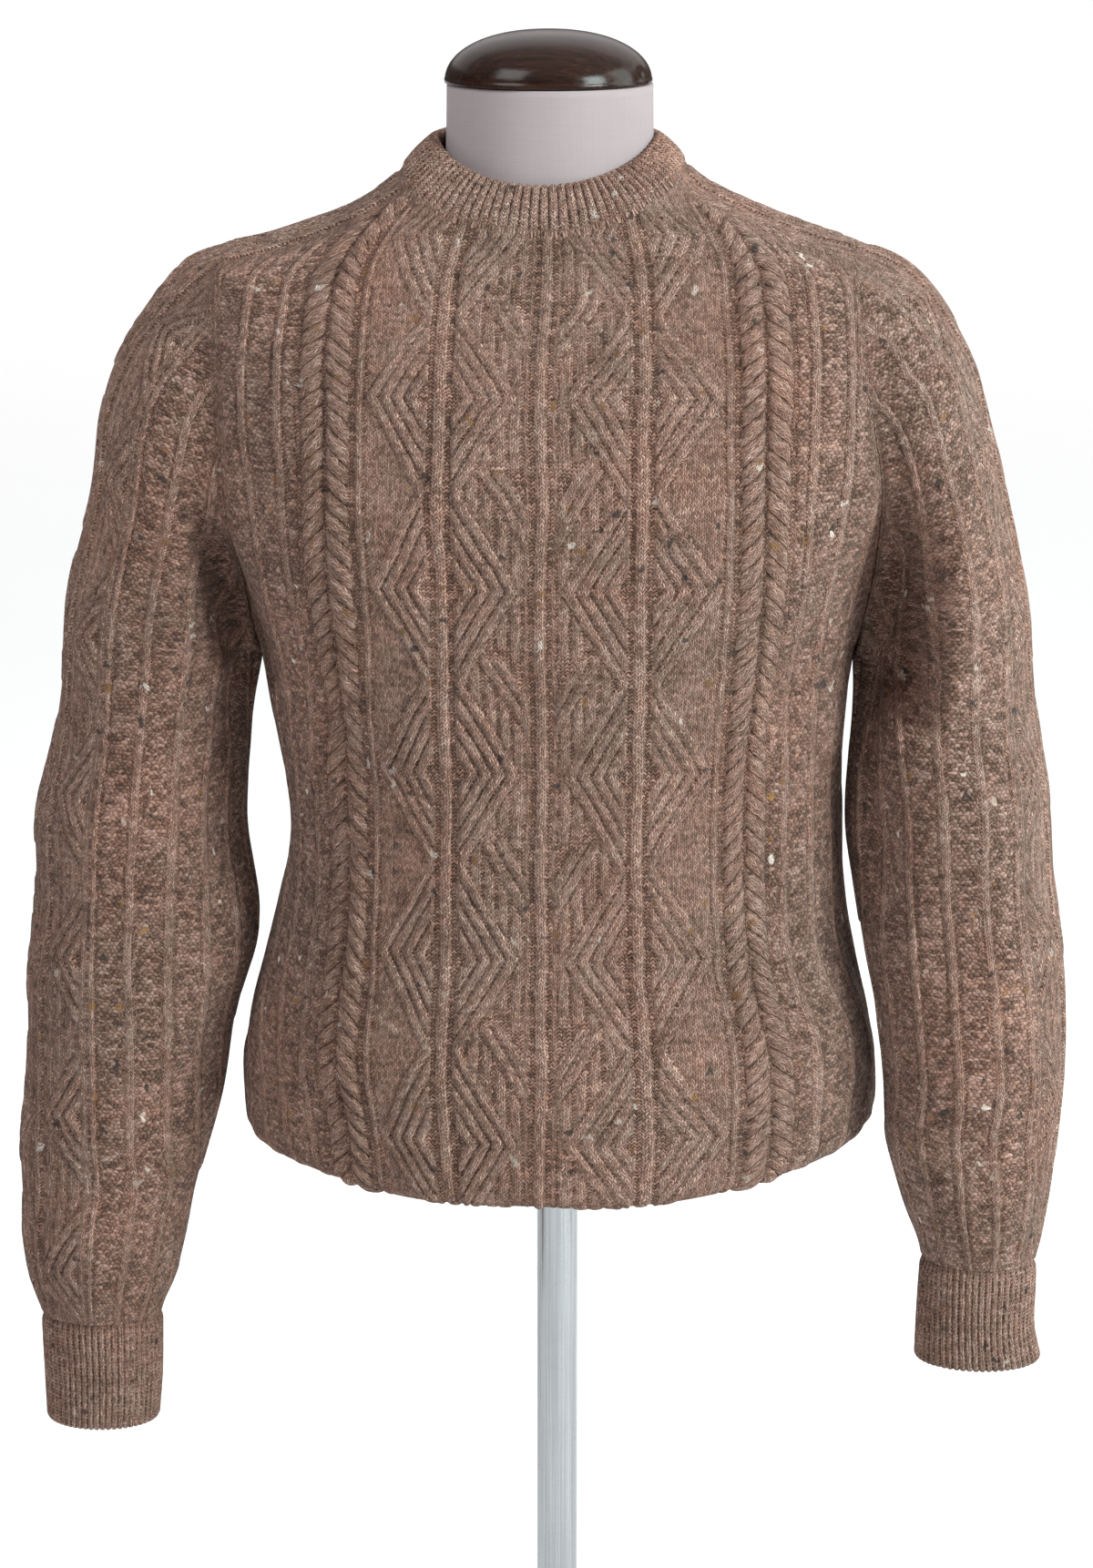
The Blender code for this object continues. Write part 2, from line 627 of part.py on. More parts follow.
def cloth(name, grid, mat, home, wrap_from=None, flip=False, wall=WALL, sewn=None):
    """A grid as cloth. sewn marks its points on a seam, where it is thinner."""
    rows, columns = grid.shape[0] - 1, grid.shape[1] - 1
    faces = grid_faces(rows, columns, wrap_from, flip)
    marks = np.zeros(grid.shape[:2], bool) if sewn is None else sewn
    points = [(*p, m) for p, m in zip(grid.reshape(-1, 3), marks.reshape(-1))]
    points, faces = only_used(points, faces)
    ob = add(name, [p[:3] for p in points], faces, mat, home)
    solid = ob.modifiers.new("cloth", "SOLIDIFY")
    if marks.any():
        full = ob.vertex_groups.new(name="full_wall")
        full.add([k for k, p in enumerate(points) if not p[3]], 1.0, "REPLACE")
        solid.vertex_group = full.name
        solid.thickness_vertex_group = SEAM_WALL
    solid.thickness = wall
    solid.offset = -1
    solid.use_even_offset = False
    return ob


def closed_grid(grid):
    """Adds the first column again, for a ring given without it."""
    return np.concatenate([grid, grid[:, :1]], axis=1)


def loft(name, table, levels, columns, mat, home):
    """A closed solid through level sections, with flat ends."""
    quarter = np.linspace(0, pi / 2, columns // 4 + 1)
    points = []
    for z in levels:
        ring = []
        for side, face, turn in ((1, -1, 1), (1, 1, -1), (-1, 1, 1), (-1, -1, -1)):
            q = oval(table, z, side, face, quarter[::turn])
            ring.extend(q[:-1])
        points.extend((x, y, z) for x, y in ring)
    n = len(points) // len(levels)
    faces = []
    for j in range(len(levels) - 1):
        for i in range(n):
            a, b = j * n + i, j * n + (i + 1) % n
            faces.append([a, b, b + n, a + n])
    faces.append(list(range(n))[::-1])
    faces.append([len(points) - n + i for i in range(n)])
    return add(name, points, faces, mat, home, 40)


def turned(name, profile, at, mat, home, segments=48):
    """A profile in the XZ plane, top to bottom down its outer side, turned
    about Z."""
    mesh = bpy.data.meshes.new(name)
    mesh.from_pydata([(r, 0, z) for r, z in profile], [(k, k + 1) for k in range(len(profile) - 1)], [])
    ob = bpy.data.objects.new(name, mesh)
    ob.location = at
    ob.data.materials.append(mat)
    home.objects.link(ob)
    screw = ob.modifiers.new("turn", "SCREW")
    screw.axis = "Z"
    screw.steps = screw.render_steps = segments
    screw.use_merge_vertices = True
    screw.merge_threshold = 1e-5
    screw.use_smooth_shade = True
    return ob


def main():
    for ob in list(bpy.data.objects):
        bpy.data.objects.remove(ob, do_unlink=True)
    home = bpy.data.collections.new("cable_knit_sweater")
    bpy.context.scene.collection.children.link(home)

    knit = material("knit_wool", (0.30, 0.22, 0.17), 0.92)
    rib = material("rib_wool", (0.29, 0.21, 0.165), 0.92)
    linen = material("linen", (0.72, 0.68, 0.66), 0.85)
    wood = material("dark_wood", (0.055, 0.025, 0.015), 0.25)
    steel = material("steel", (0.55, 0.55, 0.56), 0.3, 1.0)

    # body panels
    front, back = panel_grid(-1, ROLL_ROWS), panel_grid(1, ROLL_ROWS)
    sewn = np.zeros(front.shape[:2], bool)
    sewn[ROLL_ROWS + LOW_ROWS:, (0, -1)] = True
    sewn[-1, :STRAP_ROWS + 1] = sewn[-1, -STRAP_ROWS - 1:] = True
    cloth("front", front, knit, home, sewn=sewn)
    cloth("back", back, knit, home, flip=True, sewn=sewn)

    # sleeves with their saddle straps, and cuffs
    for side, name, cuff in ((-1, "right", CUFF_RIGHT), (1, "left", CUFF_LEFT)):
        grid, open_rows = sleeve_grid(side, SLEEVE_COLUMNS, CAP_ROWS, TUBE_ROWS)
        sewn = np.zeros(grid.shape[:2], bool)
        sewn[:open_rows + 1, (0, -1)] = True
        cloth("sleeve_" + name, grid, knit, home, wrap_from=open_rows, flip=side > 0, sewn=sewn)
        _, _, tube_row = sleeve_lines(side)
        around = np.linspace(-1, 1, SLEEVE_COLUMNS + 1)
        levels = np.linspace(cuff[0].z, cuff[-1].z, CUFF_ROWS + 1)
        ring = np.array([sleeve_row(*tube_row(z, cuff), around) for z in levels])
        cloth("cuff_" + name, ring, rib, home, wrap_from=0, flip=side > 0)

    # collar
    collar = closed_grid(collar_grid(COLLAR_COLUMNS, 3))
    collar[..., 2] += 6 * SEAM
    cloth("collar", collar, rib, home, wrap_from=0, wall=COLLAR_WALL)

    # rib band turned up inside the hem
    band = []
    for z in np.linspace(HEM_Z + 0.001, BAND_TOP, 4):
        ring = []
        quarter = np.linspace(0, pi / 2, BAND_COLUMNS // 4 + 1)
        for side, face, turn in ((1, -1, 1), (1, 1, -1), (-1, 1, 1), (-1, -1, -1)):
            ring.extend(oval(BAND, z, side, face, quarter[::turn])[:-1])
        band.append([(x, y, z) for x, y in ring])
    cloth("hem_band", closed_grid(np.array(band)), rib, home, wrap_from=0)

    # the dress form and its stand
    loft("form_torso", FORM, column(FORM, "z"), FORM_COLUMNS, linen, home)
    k = np.linspace(0, 1, 11)
    dome = [(CAP_RADIUS * np.sin(t * pi / 2) ** (2 / 2.2), CAP_HEIGHT * np.cos(t * pi / 2) ** (2 / 2.2)) for t in k]
    dome[0] = (0.0, CAP_HEIGHT)
    profile = dome[:-1] + [(CAP_RADIUS, 0.0012), (CAP_RADIUS - 0.0012, 0.0), (0.0, 0.0)]
    turned("form_cap", profile, (CAP_X, 0, CAP_Z), wood, home)
    pole_low, pole_high = BASE_HEIGHT + SEAM, FORM[0].z - SEAM
    bpy.ops.mesh.primitive_cylinder_add(
        vertices=32, radius=POLE_RADIUS, depth=pole_high - pole_low, location=(0, 0, (pole_low + pole_high) / 2)
    )
    pole = bpy.context.object
    pole.name = "stand_pole"
    pole.data.materials.append(steel)
    for c in list(pole.users_collection):
        c.objects.unlink(pole)
    home.objects.link(pole)
    r, h = BASE_RADIUS, BASE_HEIGHT
    profile = [(0.0, h), (0.020, h), (0.060, h - 0.003), (r - 0.012, h - 0.010), (r - 0.003, h - 0.013), (r, h - 0.017), (r, 0.002), (r - 0.002, 0.0), (0.0, 0.0)]
    turned("stand_base", profile, (0, 0, 0), wood, home, 64)


main()
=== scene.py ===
from collections import namedtuple
from math import pi, radians

import bpy
import numpy as np
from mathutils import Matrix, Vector


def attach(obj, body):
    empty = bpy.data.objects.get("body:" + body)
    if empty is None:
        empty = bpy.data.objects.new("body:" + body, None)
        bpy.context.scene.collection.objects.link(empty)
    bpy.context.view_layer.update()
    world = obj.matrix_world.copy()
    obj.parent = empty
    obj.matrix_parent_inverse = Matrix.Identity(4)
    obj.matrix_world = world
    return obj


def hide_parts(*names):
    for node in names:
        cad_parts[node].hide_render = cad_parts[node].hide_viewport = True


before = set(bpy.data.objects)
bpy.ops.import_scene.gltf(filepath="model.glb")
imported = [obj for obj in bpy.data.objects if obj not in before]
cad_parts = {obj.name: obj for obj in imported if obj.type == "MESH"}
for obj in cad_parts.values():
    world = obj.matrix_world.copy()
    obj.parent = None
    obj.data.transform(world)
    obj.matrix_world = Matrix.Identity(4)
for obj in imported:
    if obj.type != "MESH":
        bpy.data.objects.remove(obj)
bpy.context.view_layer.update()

# ---------------------------------------------------------------- sizes
HEM_Z = 0.397            # middle height of the turned hem
HEM_DROP = 0.014         # how far the fold hangs below that
HEM_SIDE_LIFT = 0.004
BAND_TOP = 0.450
UNDERARM_Z = 0.678
CORNER_Z = 0.905
NECK_FRONT_Z = 0.930
NECK_BACK_Z = 0.950
SADDLE_HALF = 0.047
SADDLE_NECK_HALF = 0.046
CAP_X, CAP_RADIUS, CAP_Z, CAP_HEIGHT = -0.0053, 0.0586, 1.0043, 0.0300
POLE_RADIUS, BASE_RADIUS, BASE_HEIGHT = 0.0125, 0.150, 0.022

ROW_HEIGHT = 0.00212     # one knit row
WALE = 0.00250           # one knit column on the sleeves
GROOVE_WALE = 48.0       # the knit column of the groove between the two ropes
LAST_FIXED = 54.5        # knit columns keep their width as far as this one

# -------------------------------------------------------- section tables
# Level sections of the body. right and left are the half widths on the
# wearer's right (-X) and left (+X), front and back the half depths, power the
# exponent of the oval. Above the underarm the widths run out into the sleeves
# and the armhole seam cuts them.
Section = namedtuple("Section", "z right left front back power")
BODY = [
    Section(0.383, 0.1820, 0.1850, 0.135, 0.128, 2.08),
    Section(0.410, 0.1840, 0.1865, 0.138, 0.131, 2.10),
    Section(0.435, 0.1830, 0.1860, 0.138, 0.131, 2.16),
    Section(0.457, 0.1795, 0.1835, 0.135, 0.128, 2.25),
    Section(0.480, 0.1755, 0.1790, 0.131, 0.123, 2.25),
    Section(0.502, 0.1700, 0.1745, 0.127, 0.119, 2.25),
    Section(0.535, 0.1615, 0.1685, 0.122, 0.113, 2.22),
    Section(0.579, 0.1540, 0.1650, 0.119, 0.109, 2.20),
    Section(0.622, 0.1595, 0.1650, 0.121, 0.112, 2.20),
    Section(0.678, 0.1710, 0.1705, 0.126, 0.119, 2.20),
    Section(0.720, 0.1880, 0.1860, 0.130, 0.123, 2.20),
    Section(0.760, 0.2020, 0.1990, 0.131, 0.125, 2.25),
    Section(0.800, 0.2120, 0.2060, 0.127, 0.124, 2.25),
    Section(0.840, 0.2180, 0.2080, 0.118, 0.119, 2.30),
    Section(0.870, 0.2200, 0.2080, 0.107, 0.112, 2.35),
    Section(0.890, 0.2190, 0.2060, 0.097, 0.104, 2.40),
    Section(0.905, 0.2130, 0.1960, 0.089, 0.097, 2.40),
    Section(0.918, 0.1770, 0.1640, 0.084, 0.092, 2.40),
    Section(0.928, 0.1450, 0.1380, 0.0805, 0.088, 2.40),
    Section(0.939, 0.1170, 0.1110, 0.0780, 0.084, 2.40),
    Section(0.949, 0.0990, 0.0910, 0.0760, 0.080, 2.40),
    Section(0.960, 0.0890, 0.0790, 0.0740, 0.077, 2.40),
]

# The rib band inside the hem lies round the hips of the form.
BAND = [
    Section(0.380, 0.1565, 0.1580, 0.1140, 0.1110, 2.30),
    Section(0.460, 0.1555, 0.1570, 0.1140, 0.1105, 2.30),
]

# The dress form, padded and covered, from its flat bottom to the neck.
FORM = [
    Section(0.402, 0.1470, 0.1490, 0.1050, 0.1020, 2.30),
    Section(0.407, 0.1500, 0.1520, 0.1080, 0.1050, 2.30),
    Section(0.450, 0.1500, 0.1520, 0.1085, 0.1055, 2.30),
    Section(0.500, 0.1480, 0.1520, 0.1100, 0.1040, 2.28),
    Section(0.540, 0.1460, 0.1530, 0.1105, 0.1020, 2.25),
    Section(0.579, 0.1450, 0.1550, 0.1105, 0.1010, 2.22),
    Section(0.622, 0.1500, 0.1560, 0.1130, 0.1040, 2.20),
    Section(0.678, 0.1600, 0.1600, 0.1180, 0.1110, 2.20),
    Section(0.720, 0.1660, 0.1650, 0.1210, 0.1150, 2.25),
    Section(0.760, 0.1690, 0.1670, 0.1220, 0.1170, 2.30),
    Section(0.800, 0.1700, 0.1670, 0.1175, 0.1155, 2.35),
    Section(0.840, 0.1700, 0.1650, 0.1080, 0.1095, 2.40),
    Section(0.865, 0.1690, 0.1620, 0.0985, 0.1035, 2.40),
    Section(0.883, 0.1640, 0.1560, 0.0890, 0.0950, 2.40),
    Section(0.896, 0.1500, 0.1420, 0.0810, 0.0880, 2.40),
    Section(0.908, 0.1230, 0.1170, 0.0755, 0.0825, 2.35),
    Section(0.919, 0.0980, 0.0920, 0.0720, 0.0775, 2.30),
    Section(0.930, 0.0780, 0.0690, 0.0645, 0.0680, 2.20),
    Section(0.944, 0.0675, 0.0585, 0.0605, 0.0625, 2.10),
    Section(0.960, 0.0635, 0.0545, 0.0588, 0.0600, 2.05),
    Section(0.980, 0.0628, 0.0540, 0.0585, 0.0592, 2.00),
    Section(1.0040, 0.0625, 0.0538, 0.0585, 0.0592, 2.00),
]

# Where the armhole seam lies, as a distance from the middle, on each side.
Armhole = namedtuple("Armhole", "z right left")
ARMHOLE = [
    Armhole(0.678, 0.1710, 0.1705),
    Armhole(0.700, 0.1765, 0.1755),
    Armhole(0.740, 0.1810, 0.1830),
    Armhole(0.780, 0.1835, 0.1850),
    Armhole(0.820, 0.1850, 0.1800),
    Armhole(0.860, 0.1870, 0.1730),
    Armhole(0.905, 0.1890, 0.1690),
]

# The saddle strap's middle line from the collar to the armhole.
Ridge = namedtuple("Ridge", "right_x right_z left_x left_z")
RIDGE = [
    Ridge(0.0905, 0.9585, 0.0755, 0.9600),
    Ridge(0.1000, 0.9505, 0.0890, 0.9500),
    Ridge(0.1170, 0.9410, 0.1110, 0.9400),
    Ridge(0.1450, 0.9310, 0.1390, 0.9300),
    Ridge(0.1900, 0.9155, 0.1690, 0.9195),
]

# The sleeve cap's outer line from the saddle's end to the underarm level.
CapLine = namedtuple("CapLine", "right_x right_z left_x left_z half_depth")
CAP_LINE = [
    CapLine(0.1900, 0.9155, 0.1690, 0.9195, 0.048),
    CapLine(0.2090, 0.9080, 0.1930, 0.9080, 0.058),
    CapLine(0.2230, 0.8960, 0.2080, 0.8960, 0.064),
    CapLine(0.2400, 0.8720, 0.2260, 0.8720, 0.070),
    CapLine(0.2530, 0.8420, 0.2400, 0.8420, 0.074),
    CapLine(0.2650, 0.7930, 0.2525, 0.7930, 0.075),
    CapLine(0.2765, 0.7400, 0.2640, 0.7400, 0.074),
    CapLine(0.2875, 0.6780, 0.2740, 0.6780, 0.072),
]

# The hanging sleeves below the underarm: outer and inner distance from the
# middle, where the sleeve's axis lies in y, and its depth front to back.
Tube = namedtuple("Tube", "z outer inner y depth")
SLEEVE_RIGHT = [
    Tube(0.678, 0.2880, 0.1710, -0.001, 0.144),
    Tube(0.634, 0.2945, 0.1790, -0.005, 0.138),
    Tube(0.581, 0.3025, 0.1795, -0.010, 0.130),
    Tube(0.527, 0.3075, 0.1765, -0.014, 0.124),
    Tube(0.473, 0.3100, 0.1850, -0.018, 0.118),
    Tube(0.418, 0.3130, 0.1955, -0.021, 0.110),
    Tube(0.364, 0.3155, 0.2080, -0.024, 0.102),
    Tube(0.338, 0.3155, 0.2145, -0.025, 0.096),
    Tube(0.307, 0.3110, 0.2260, -0.026, 0.080),
    Tube(0.292, 0.3070, 0.2310, -0.027, 0.070),
    Tube(0.282, 0.3050, 0.2340, -0.027, 0.062),
]
SLEEVE_LEFT = [
    Tube(0.678, 0.2735, 0.1705, -0.001, 0.144),
    Tube(0.635, 0.2795, 0.1700, -0.010, 0.136),
    Tube(0.584, 0.2870, 0.1695, -0.020, 0.128),
    Tube(0.531, 0.2915, 0.1745, -0.028, 0.122),
    Tube(0.481, 0.2940, 0.1865, -0.034, 0.114),
    Tube(0.436, 0.2955, 0.1900, -0.037, 0.108),
    Tube(0.402, 0.2950, 0.1925, -0.038, 0.103),
    Tube(0.370, 0.2905, 0.2020, -0.037, 0.094),
    Tube(0.352, 0.2870, 0.2085, -0.036, 0.084),
    Tube(0.338, 0.2835, 0.2135, -0.035, 0.071),
    Tube(0.329, 0.2815, 0.2155, -0.035, 0.062),
]
CUFF_RIGHT = [
    Tube(0.2815, 0.3050, 0.2340, -0.027, 0.062),
    Tube(0.250, 0.3040, 0.2345, -0.028, 0.057),
    Tube(0.218, 0.3030, 0.2370, -0.028, 0.056),
]
CUFF_LEFT = [
    Tube(0.3285, 0.2815, 0.2155, -0.035, 0.062),
    Tube(0.300, 0.2830, 0.2140, -0.035, 0.057),
    Tube(0.269, 0.2870, 0.2130, -0.035, 0.058),
]

# Soft folds in the sleeves: how far down the sleeve and round it from the
# outer line (0) to the front (-1) or back (+1), and the size of the trough.
Fold = namedtuple("Fold", "z around depth height width lean")
FOLDS = [
    Fold(0.735, -0.62, 0.0060, 0.070, 0.10, -2.2),
    Fold(0.690, 0.60, 0.0055, 0.065, 0.10, 2.0),
    Fold(0.560, -0.80, 0.0030, 0.045, 0.16, 0.0),
    Fold(0.470, 0.75, 0.0030, 0.050, 0.16, 0.0),
]



# Where the groove between the two ropes of each cable lies, by level.
Groove = namedtuple("Groove", "z right left")
GROOVE = [
    Groove(0.383, 0.1100, 0.1262),
    Groove(0.410, 0.1125, 0.1268),
    Groove(0.437, 0.1160, 0.1274),
    Groove(0.452, 0.1195, 0.1268),
    Groove(0.468, 0.1205, 0.1258),
    Groove(0.492, 0.1188, 0.1205),
    Groove(0.522, 0.1158, 0.1140),
    Groove(0.560, 0.1144, 0.1120),
    Groove(0.600, 0.1140, 0.1116),
    Groove(0.640, 0.1145, 0.1130),
    Groove(0.685, 0.1170, 0.1160),
    Groove(0.740, 0.1200, 0.1190),
    Groove(0.795, 0.1225, 0.1215),
    Groove(0.850, 0.1220, 0.1205),
    Groove(0.900, 0.1190, 0.1170),
    Groove(0.960, 0.0780, 0.0780),
]

# Knit rows by level: a diamond is 50 rows, and is centred on each of these.
Row = namedtuple("Row", "z row")
ROWS = [Row(0.380, -20), Row(0.423, 0), Row(0.526, 50), Row(0.632, 100), Row(0.737, 150), Row(0.842, 200), Row(0.927, 250), Row(0.970, 276)]

Ring = namedtuple("Ring", "front side_z back x half_right half_left half_front half_back")
COLLAR_TOP = Ring(0.9510, 0.9750, 0.9785, -0.0062, 0.0660, 0.0655, 0.0655, 0.0660)

# ------------------------------------------------------------ arithmetic
def smooth(x, xs, ys):
    """Values of ys at x on a monotone cubic through (xs, ys)."""
    xs, ys = np.asarray(xs, float), np.asarray(ys, float)
    if xs[0] > xs[-1]:
        xs, ys = xs[::-1], ys[::-1]
    h, d = np.diff(xs), np.diff(ys) / np.diff(xs)
    m = np.zeros_like(ys)
    m[0], m[-1] = d[0], d[-1]
    for i in range(1, len(xs) - 1):
        if d[i - 1] * d[i] > 0:
            a, b = 2 * h[i] + h[i - 1], h[i] + 2 * h[i - 1]
            m[i] = (a + b) / (a / d[i - 1] + b / d[i])
    x = np.clip(np.asarray(x, float), xs[0], xs[-1])
    k = np.clip(np.searchsorted(xs, x) - 1, 0, len(h) - 1)
    t = (x - xs[k]) / h[k]
    return (
        ys[k] * (1 + 2 * t) * (1 - t) ** 2
        + m[k] * h[k] * t * (1 - t) ** 2
        + ys[k + 1] * t * t * (3 - 2 * t)
        + m[k + 1] * h[k] * t * t * (t - 1)
    )


def column(table, name):
    return [getattr(row, name) for row in table]


def read(table, name, z):
    return smooth(z, column(table, "z"), column(table, name))


def step(x):
    x = np.clip(x, 0, 1)
    return x * x * (3 - 2 * x)


def gate(x, low, high, soft):
    """1 between low and high, with soft shoulders."""
    return step((x - low) / soft + 0.5) * step((high - x) / soft + 0.5)


def arc_lengths(points):
    d = np.linalg.norm(np.diff(points, axis=0), axis=1)
    return np.concatenate([[0], np.cumsum(d)])


def along(points, values, at):
    return np.stack([np.interp(at, values, points[:, k]) for k in range(points.shape[1])], -1)


def unit(v):
    return v / np.maximum(np.linalg.norm(v, axis=-1, keepdims=True), 1e-12)


# ------------------------------------------------- the body's level sections
class Levels:
    """Level sections of a table, with the distance round them."""

    T = np.linspace(0, 1, 201) ** 1.5 * (pi / 2)
    F = np.linspace(0, 1, 301)

    def __init__(self, table, low, high, n):
        self.table, self.z = table, np.linspace(low, high, n)
        self.len, self.ang, self.arc = {}, {}, {}
        for side in (-1, 1):
            for face in (-1, 1):
                a, b, p = (v[:, None] for v in self.sizes(self.z, side, face))
                x, y = a * np.sin(self.T) ** (2 / p), b * np.cos(self.T) ** (2 / p)
                s = np.concatenate(
                    [np.zeros((n, 1)), np.cumsum(np.hypot(np.diff(x, axis=1), np.diff(y, axis=1)), 1)], 1
                )
                self.arc[side, face] = s
                self.len[side, face] = s[:, -1]
                self.ang[side, face] = np.array([np.interp(self.F * s[k, -1], s[k], self.T) for k in range(n)])

    def sizes(self, z, side, face):
        return (
            read(self.table, "right" if side < 0 else "left", z),
            read(self.table, "front" if face < 0 else "back", z),
            read(self.table, "power", z),
        )

    def _cell(self, grid, z, c):
        """A value of a [level, place] grid, at level z and place c."""
        kz = np.clip((z - self.z[0]) / (self.z[1] - self.z[0]), 0, len(self.z) - 1.000001)
        i, j = kz.astype(int), np.clip(c, 0, grid.shape[1] - 1.000001).astype(int)
        fz, fc = kz - i, np.clip(c, 0, grid.shape[1] - 1.000001) - j
        return (
            grid[i, j] * (1 - fz) * (1 - fc)
            + grid[i + 1, j] * fz * (1 - fc)
            + grid[i, j + 1] * (1 - fz) * fc
            + grid[i + 1, j + 1] * fz * fc
        )

    def length(self, side, face, z):
        return np.interp(z, self.z, self.len[side, face])

    def point(self, side, face, z, arc):
        z, arc = np.broadcast_arrays(np.asarray(z, float), np.asarray(arc, float))
        t = self._cell(self.ang[side, face], z, arc / self.length(side, face, z) * 300)
        a, b, p = self.sizes(z, side, face)
        return np.stack([side * a * np.sin(t) ** (2 / p), face * b * np.maximum(np.cos(t), 0) ** (2 / p), z], -1)

    def arc_at(self, side, face, z, x):
        z, x = np.broadcast_arrays(np.asarray(z, float), np.asarray(x, float))
        a, _, p = self.sizes(z, side, face)
        t = np.arcsin(np.clip(x / a, 0, 1) ** (p / 2))
        return self._cell(self.arc[side, face], z, (t / (pi / 2)) ** (1 / 1.5) * 200)


def armhole_x(z, side):
    return read(ARMHOLE, "right" if side < 0 else "left", z)


def edge_arc(z, side, face):
    """Distance round the section to the panel's edge: the side seam below
    the underarm, the armhole seam above it."""
    z = np.minimum(np.asarray(z, float), CORNER_Z)
    return np.where(z <= UNDERARM_Z, LEVELS.length(side, face, z), LEVELS.arc_at(side, face, z, armhole_x(z, side)))


def wale(z, side, face):
    """Width of one knit column, which the cable groove's place sets."""
    groove = read(GROOVE, "right" if side < 0 else "left", z)
    return LEVELS.arc_at(side, face, z, groove) / GROOVE_WALE


def seam_point(z, side, face):
    return LEVELS.point(side, face, z, edge_arc(z, side, face))


def saddle_line(side, face, n=24):
    ridge_x = np.array(column(RIDGE, "right_x" if side < 0 else "left_x"))
    ridge_z = np.array(column(RIDGE, "right_z" if side < 0 else "left_z"))
    corner = float(armhole_x(CORNER_Z, side))
    f = np.linspace(0, 1, n)
    x = corner + (ridge_x[0] - 0.006 - corner) * f
    y = SADDLE_HALF + (SADDLE_NECK_HALF - SADDLE_HALF) * f
    low, high = np.full(n, 0.85), smooth(x, ridge_x, ridge_z)
    for _ in range(40):
        z = (low + high) / 2
        a, b, p = LEVELS.sizes(z, side, face)
        inside = (x / a) ** p + (y / b) ** p < 1
        low, high = np.where(inside, z, low), np.where(inside, high, z)
    return np.stack([side * x, face * y, z], -1)


def neck_line(side, face, n=14):
    start = saddle_line(side, face)[-1]
    middle = NECK_FRONT_Z if face < 0 else NECK_BACK_Z
    f = np.linspace(0, 1, n)
    x = abs(start[0]) * np.cos(f * pi / 2)
    z = middle + (start[2] - middle) * (x / abs(start[0])) ** 2.0
    a, b, p = LEVELS.sizes(z, side, face)
    y = b * np.maximum(0.0, 1 - (x / a) ** p) ** (1 / p)
    return np.stack([side * x, face * y, z], -1)


def panel_top(side, face):
    line = np.concatenate([saddle_line(side, face, 60)[:-1], neck_line(side, face, 60)])[::-1]
    return LEVELS.arc_at(side, face, line[:, 2], np.abs(line[:, 0])), line[:, 2]


def half_columns():
    """Knit-column places from the middle to the edge: wales, fixed as far
    as the cables, and then as a share of what is left."""
    fixed = np.concatenate([np.arange(0, 42.0, 0.5), np.arange(42.0, 54.6, 12.6 / 36)])
    share = np.linspace(0, 1, 60)[1:]
    return np.concatenate([fixed, np.full(len(share), LAST_FIXED)]), np.concatenate([0 * fixed, share])


def panel(face, rows, roll_rows):
    """The panel's surface: points, wale and row coordinates, and how far
    each point is from the panel's edge."""
    halves = []
    for side in (-1, 1):
        w0, share = half_columns()

        def path(z):
            w = wale(z, side, face)
            edge = edge_arc(z, side, face) / w
            return np.where(share > 0, w0 + (edge - w0) * share, w0) * w

        top_arc, top_z = panel_top(side, face)
        z_top = np.full(len(w0), 0.93)
        for _ in range(60):
            z_top = 0.5 * z_top + 0.5 * np.interp(path(z_top), top_arc, top_z)
        low_share = path(np.full(len(w0), HEM_Z)) / LEVELS.length(side, face, HEM_Z)
        z_low = HEM_Z + HEM_SIDE_LIFT * low_share**2
        f = (np.arange(rows + 1) / rows)[:, None]
        z = z_low + (z_top - z_low) * f
        arc = path(z)
        p = LEVELS.point(side, face, z, arc)
        wales = arc / wale(z, side, face)
        row = read(ROWS, "row", z)
        edge = np.minimum(edge_arc(z, side, face) - arc, (z_top - z) * 1.15)
        # the turned hem, from the inside round to the outside
        outer = LEVELS.point(side, face, z_low, low_share * LEVELS.length(side, face, HEM_Z))
        inner = BAND_LEVELS.point(side, face, HEM_Z + 0 * z_low, low_share * BAND_LEVELS.length(side, face, HEM_Z))
        beta = pi * 0.93 * (1 - np.arange(roll_rows) / roll_rows)[:, None, None]
        w = (1 - np.cos(beta)) / 2
        q = outer * (1 - w) + inner * w
        q[..., 2] = z_low - HEM_DROP * np.sin(beta[..., 0])
        down = np.linalg.norm(np.diff(np.concatenate([q, p[:1]]), axis=0), axis=2)
        down = np.cumsum(down[::-1], 0)[::-1]
        q_row = row[0] - down / ROW_HEIGHT
        q_edge = np.broadcast_to(edge[0], q_row.shape)
        q_wale = np.broadcast_to(wales[0], q_row.shape)
        p = np.concatenate([q, p])
        wales, row, edge = (np.concatenate(v) for v in ((q_wale, wales), (q_row, row), (q_edge, edge)))
        halves.append((p, side * wales, row, edge))
    a, b = halves
    return [np.concatenate([x[:, ::-1], y[:, 1:]], 1) for x, y in zip(a, b)]


def normals(p, closed=False):
    """Unit normals of a grid of points."""
    if closed:
        du = np.roll(p, -1, 1) - np.roll(p, 1, 1)
    else:
        du = np.gradient(p, axis=1)
    dv = np.gradient(p, axis=0)
    return unit(np.cross(du, dv))


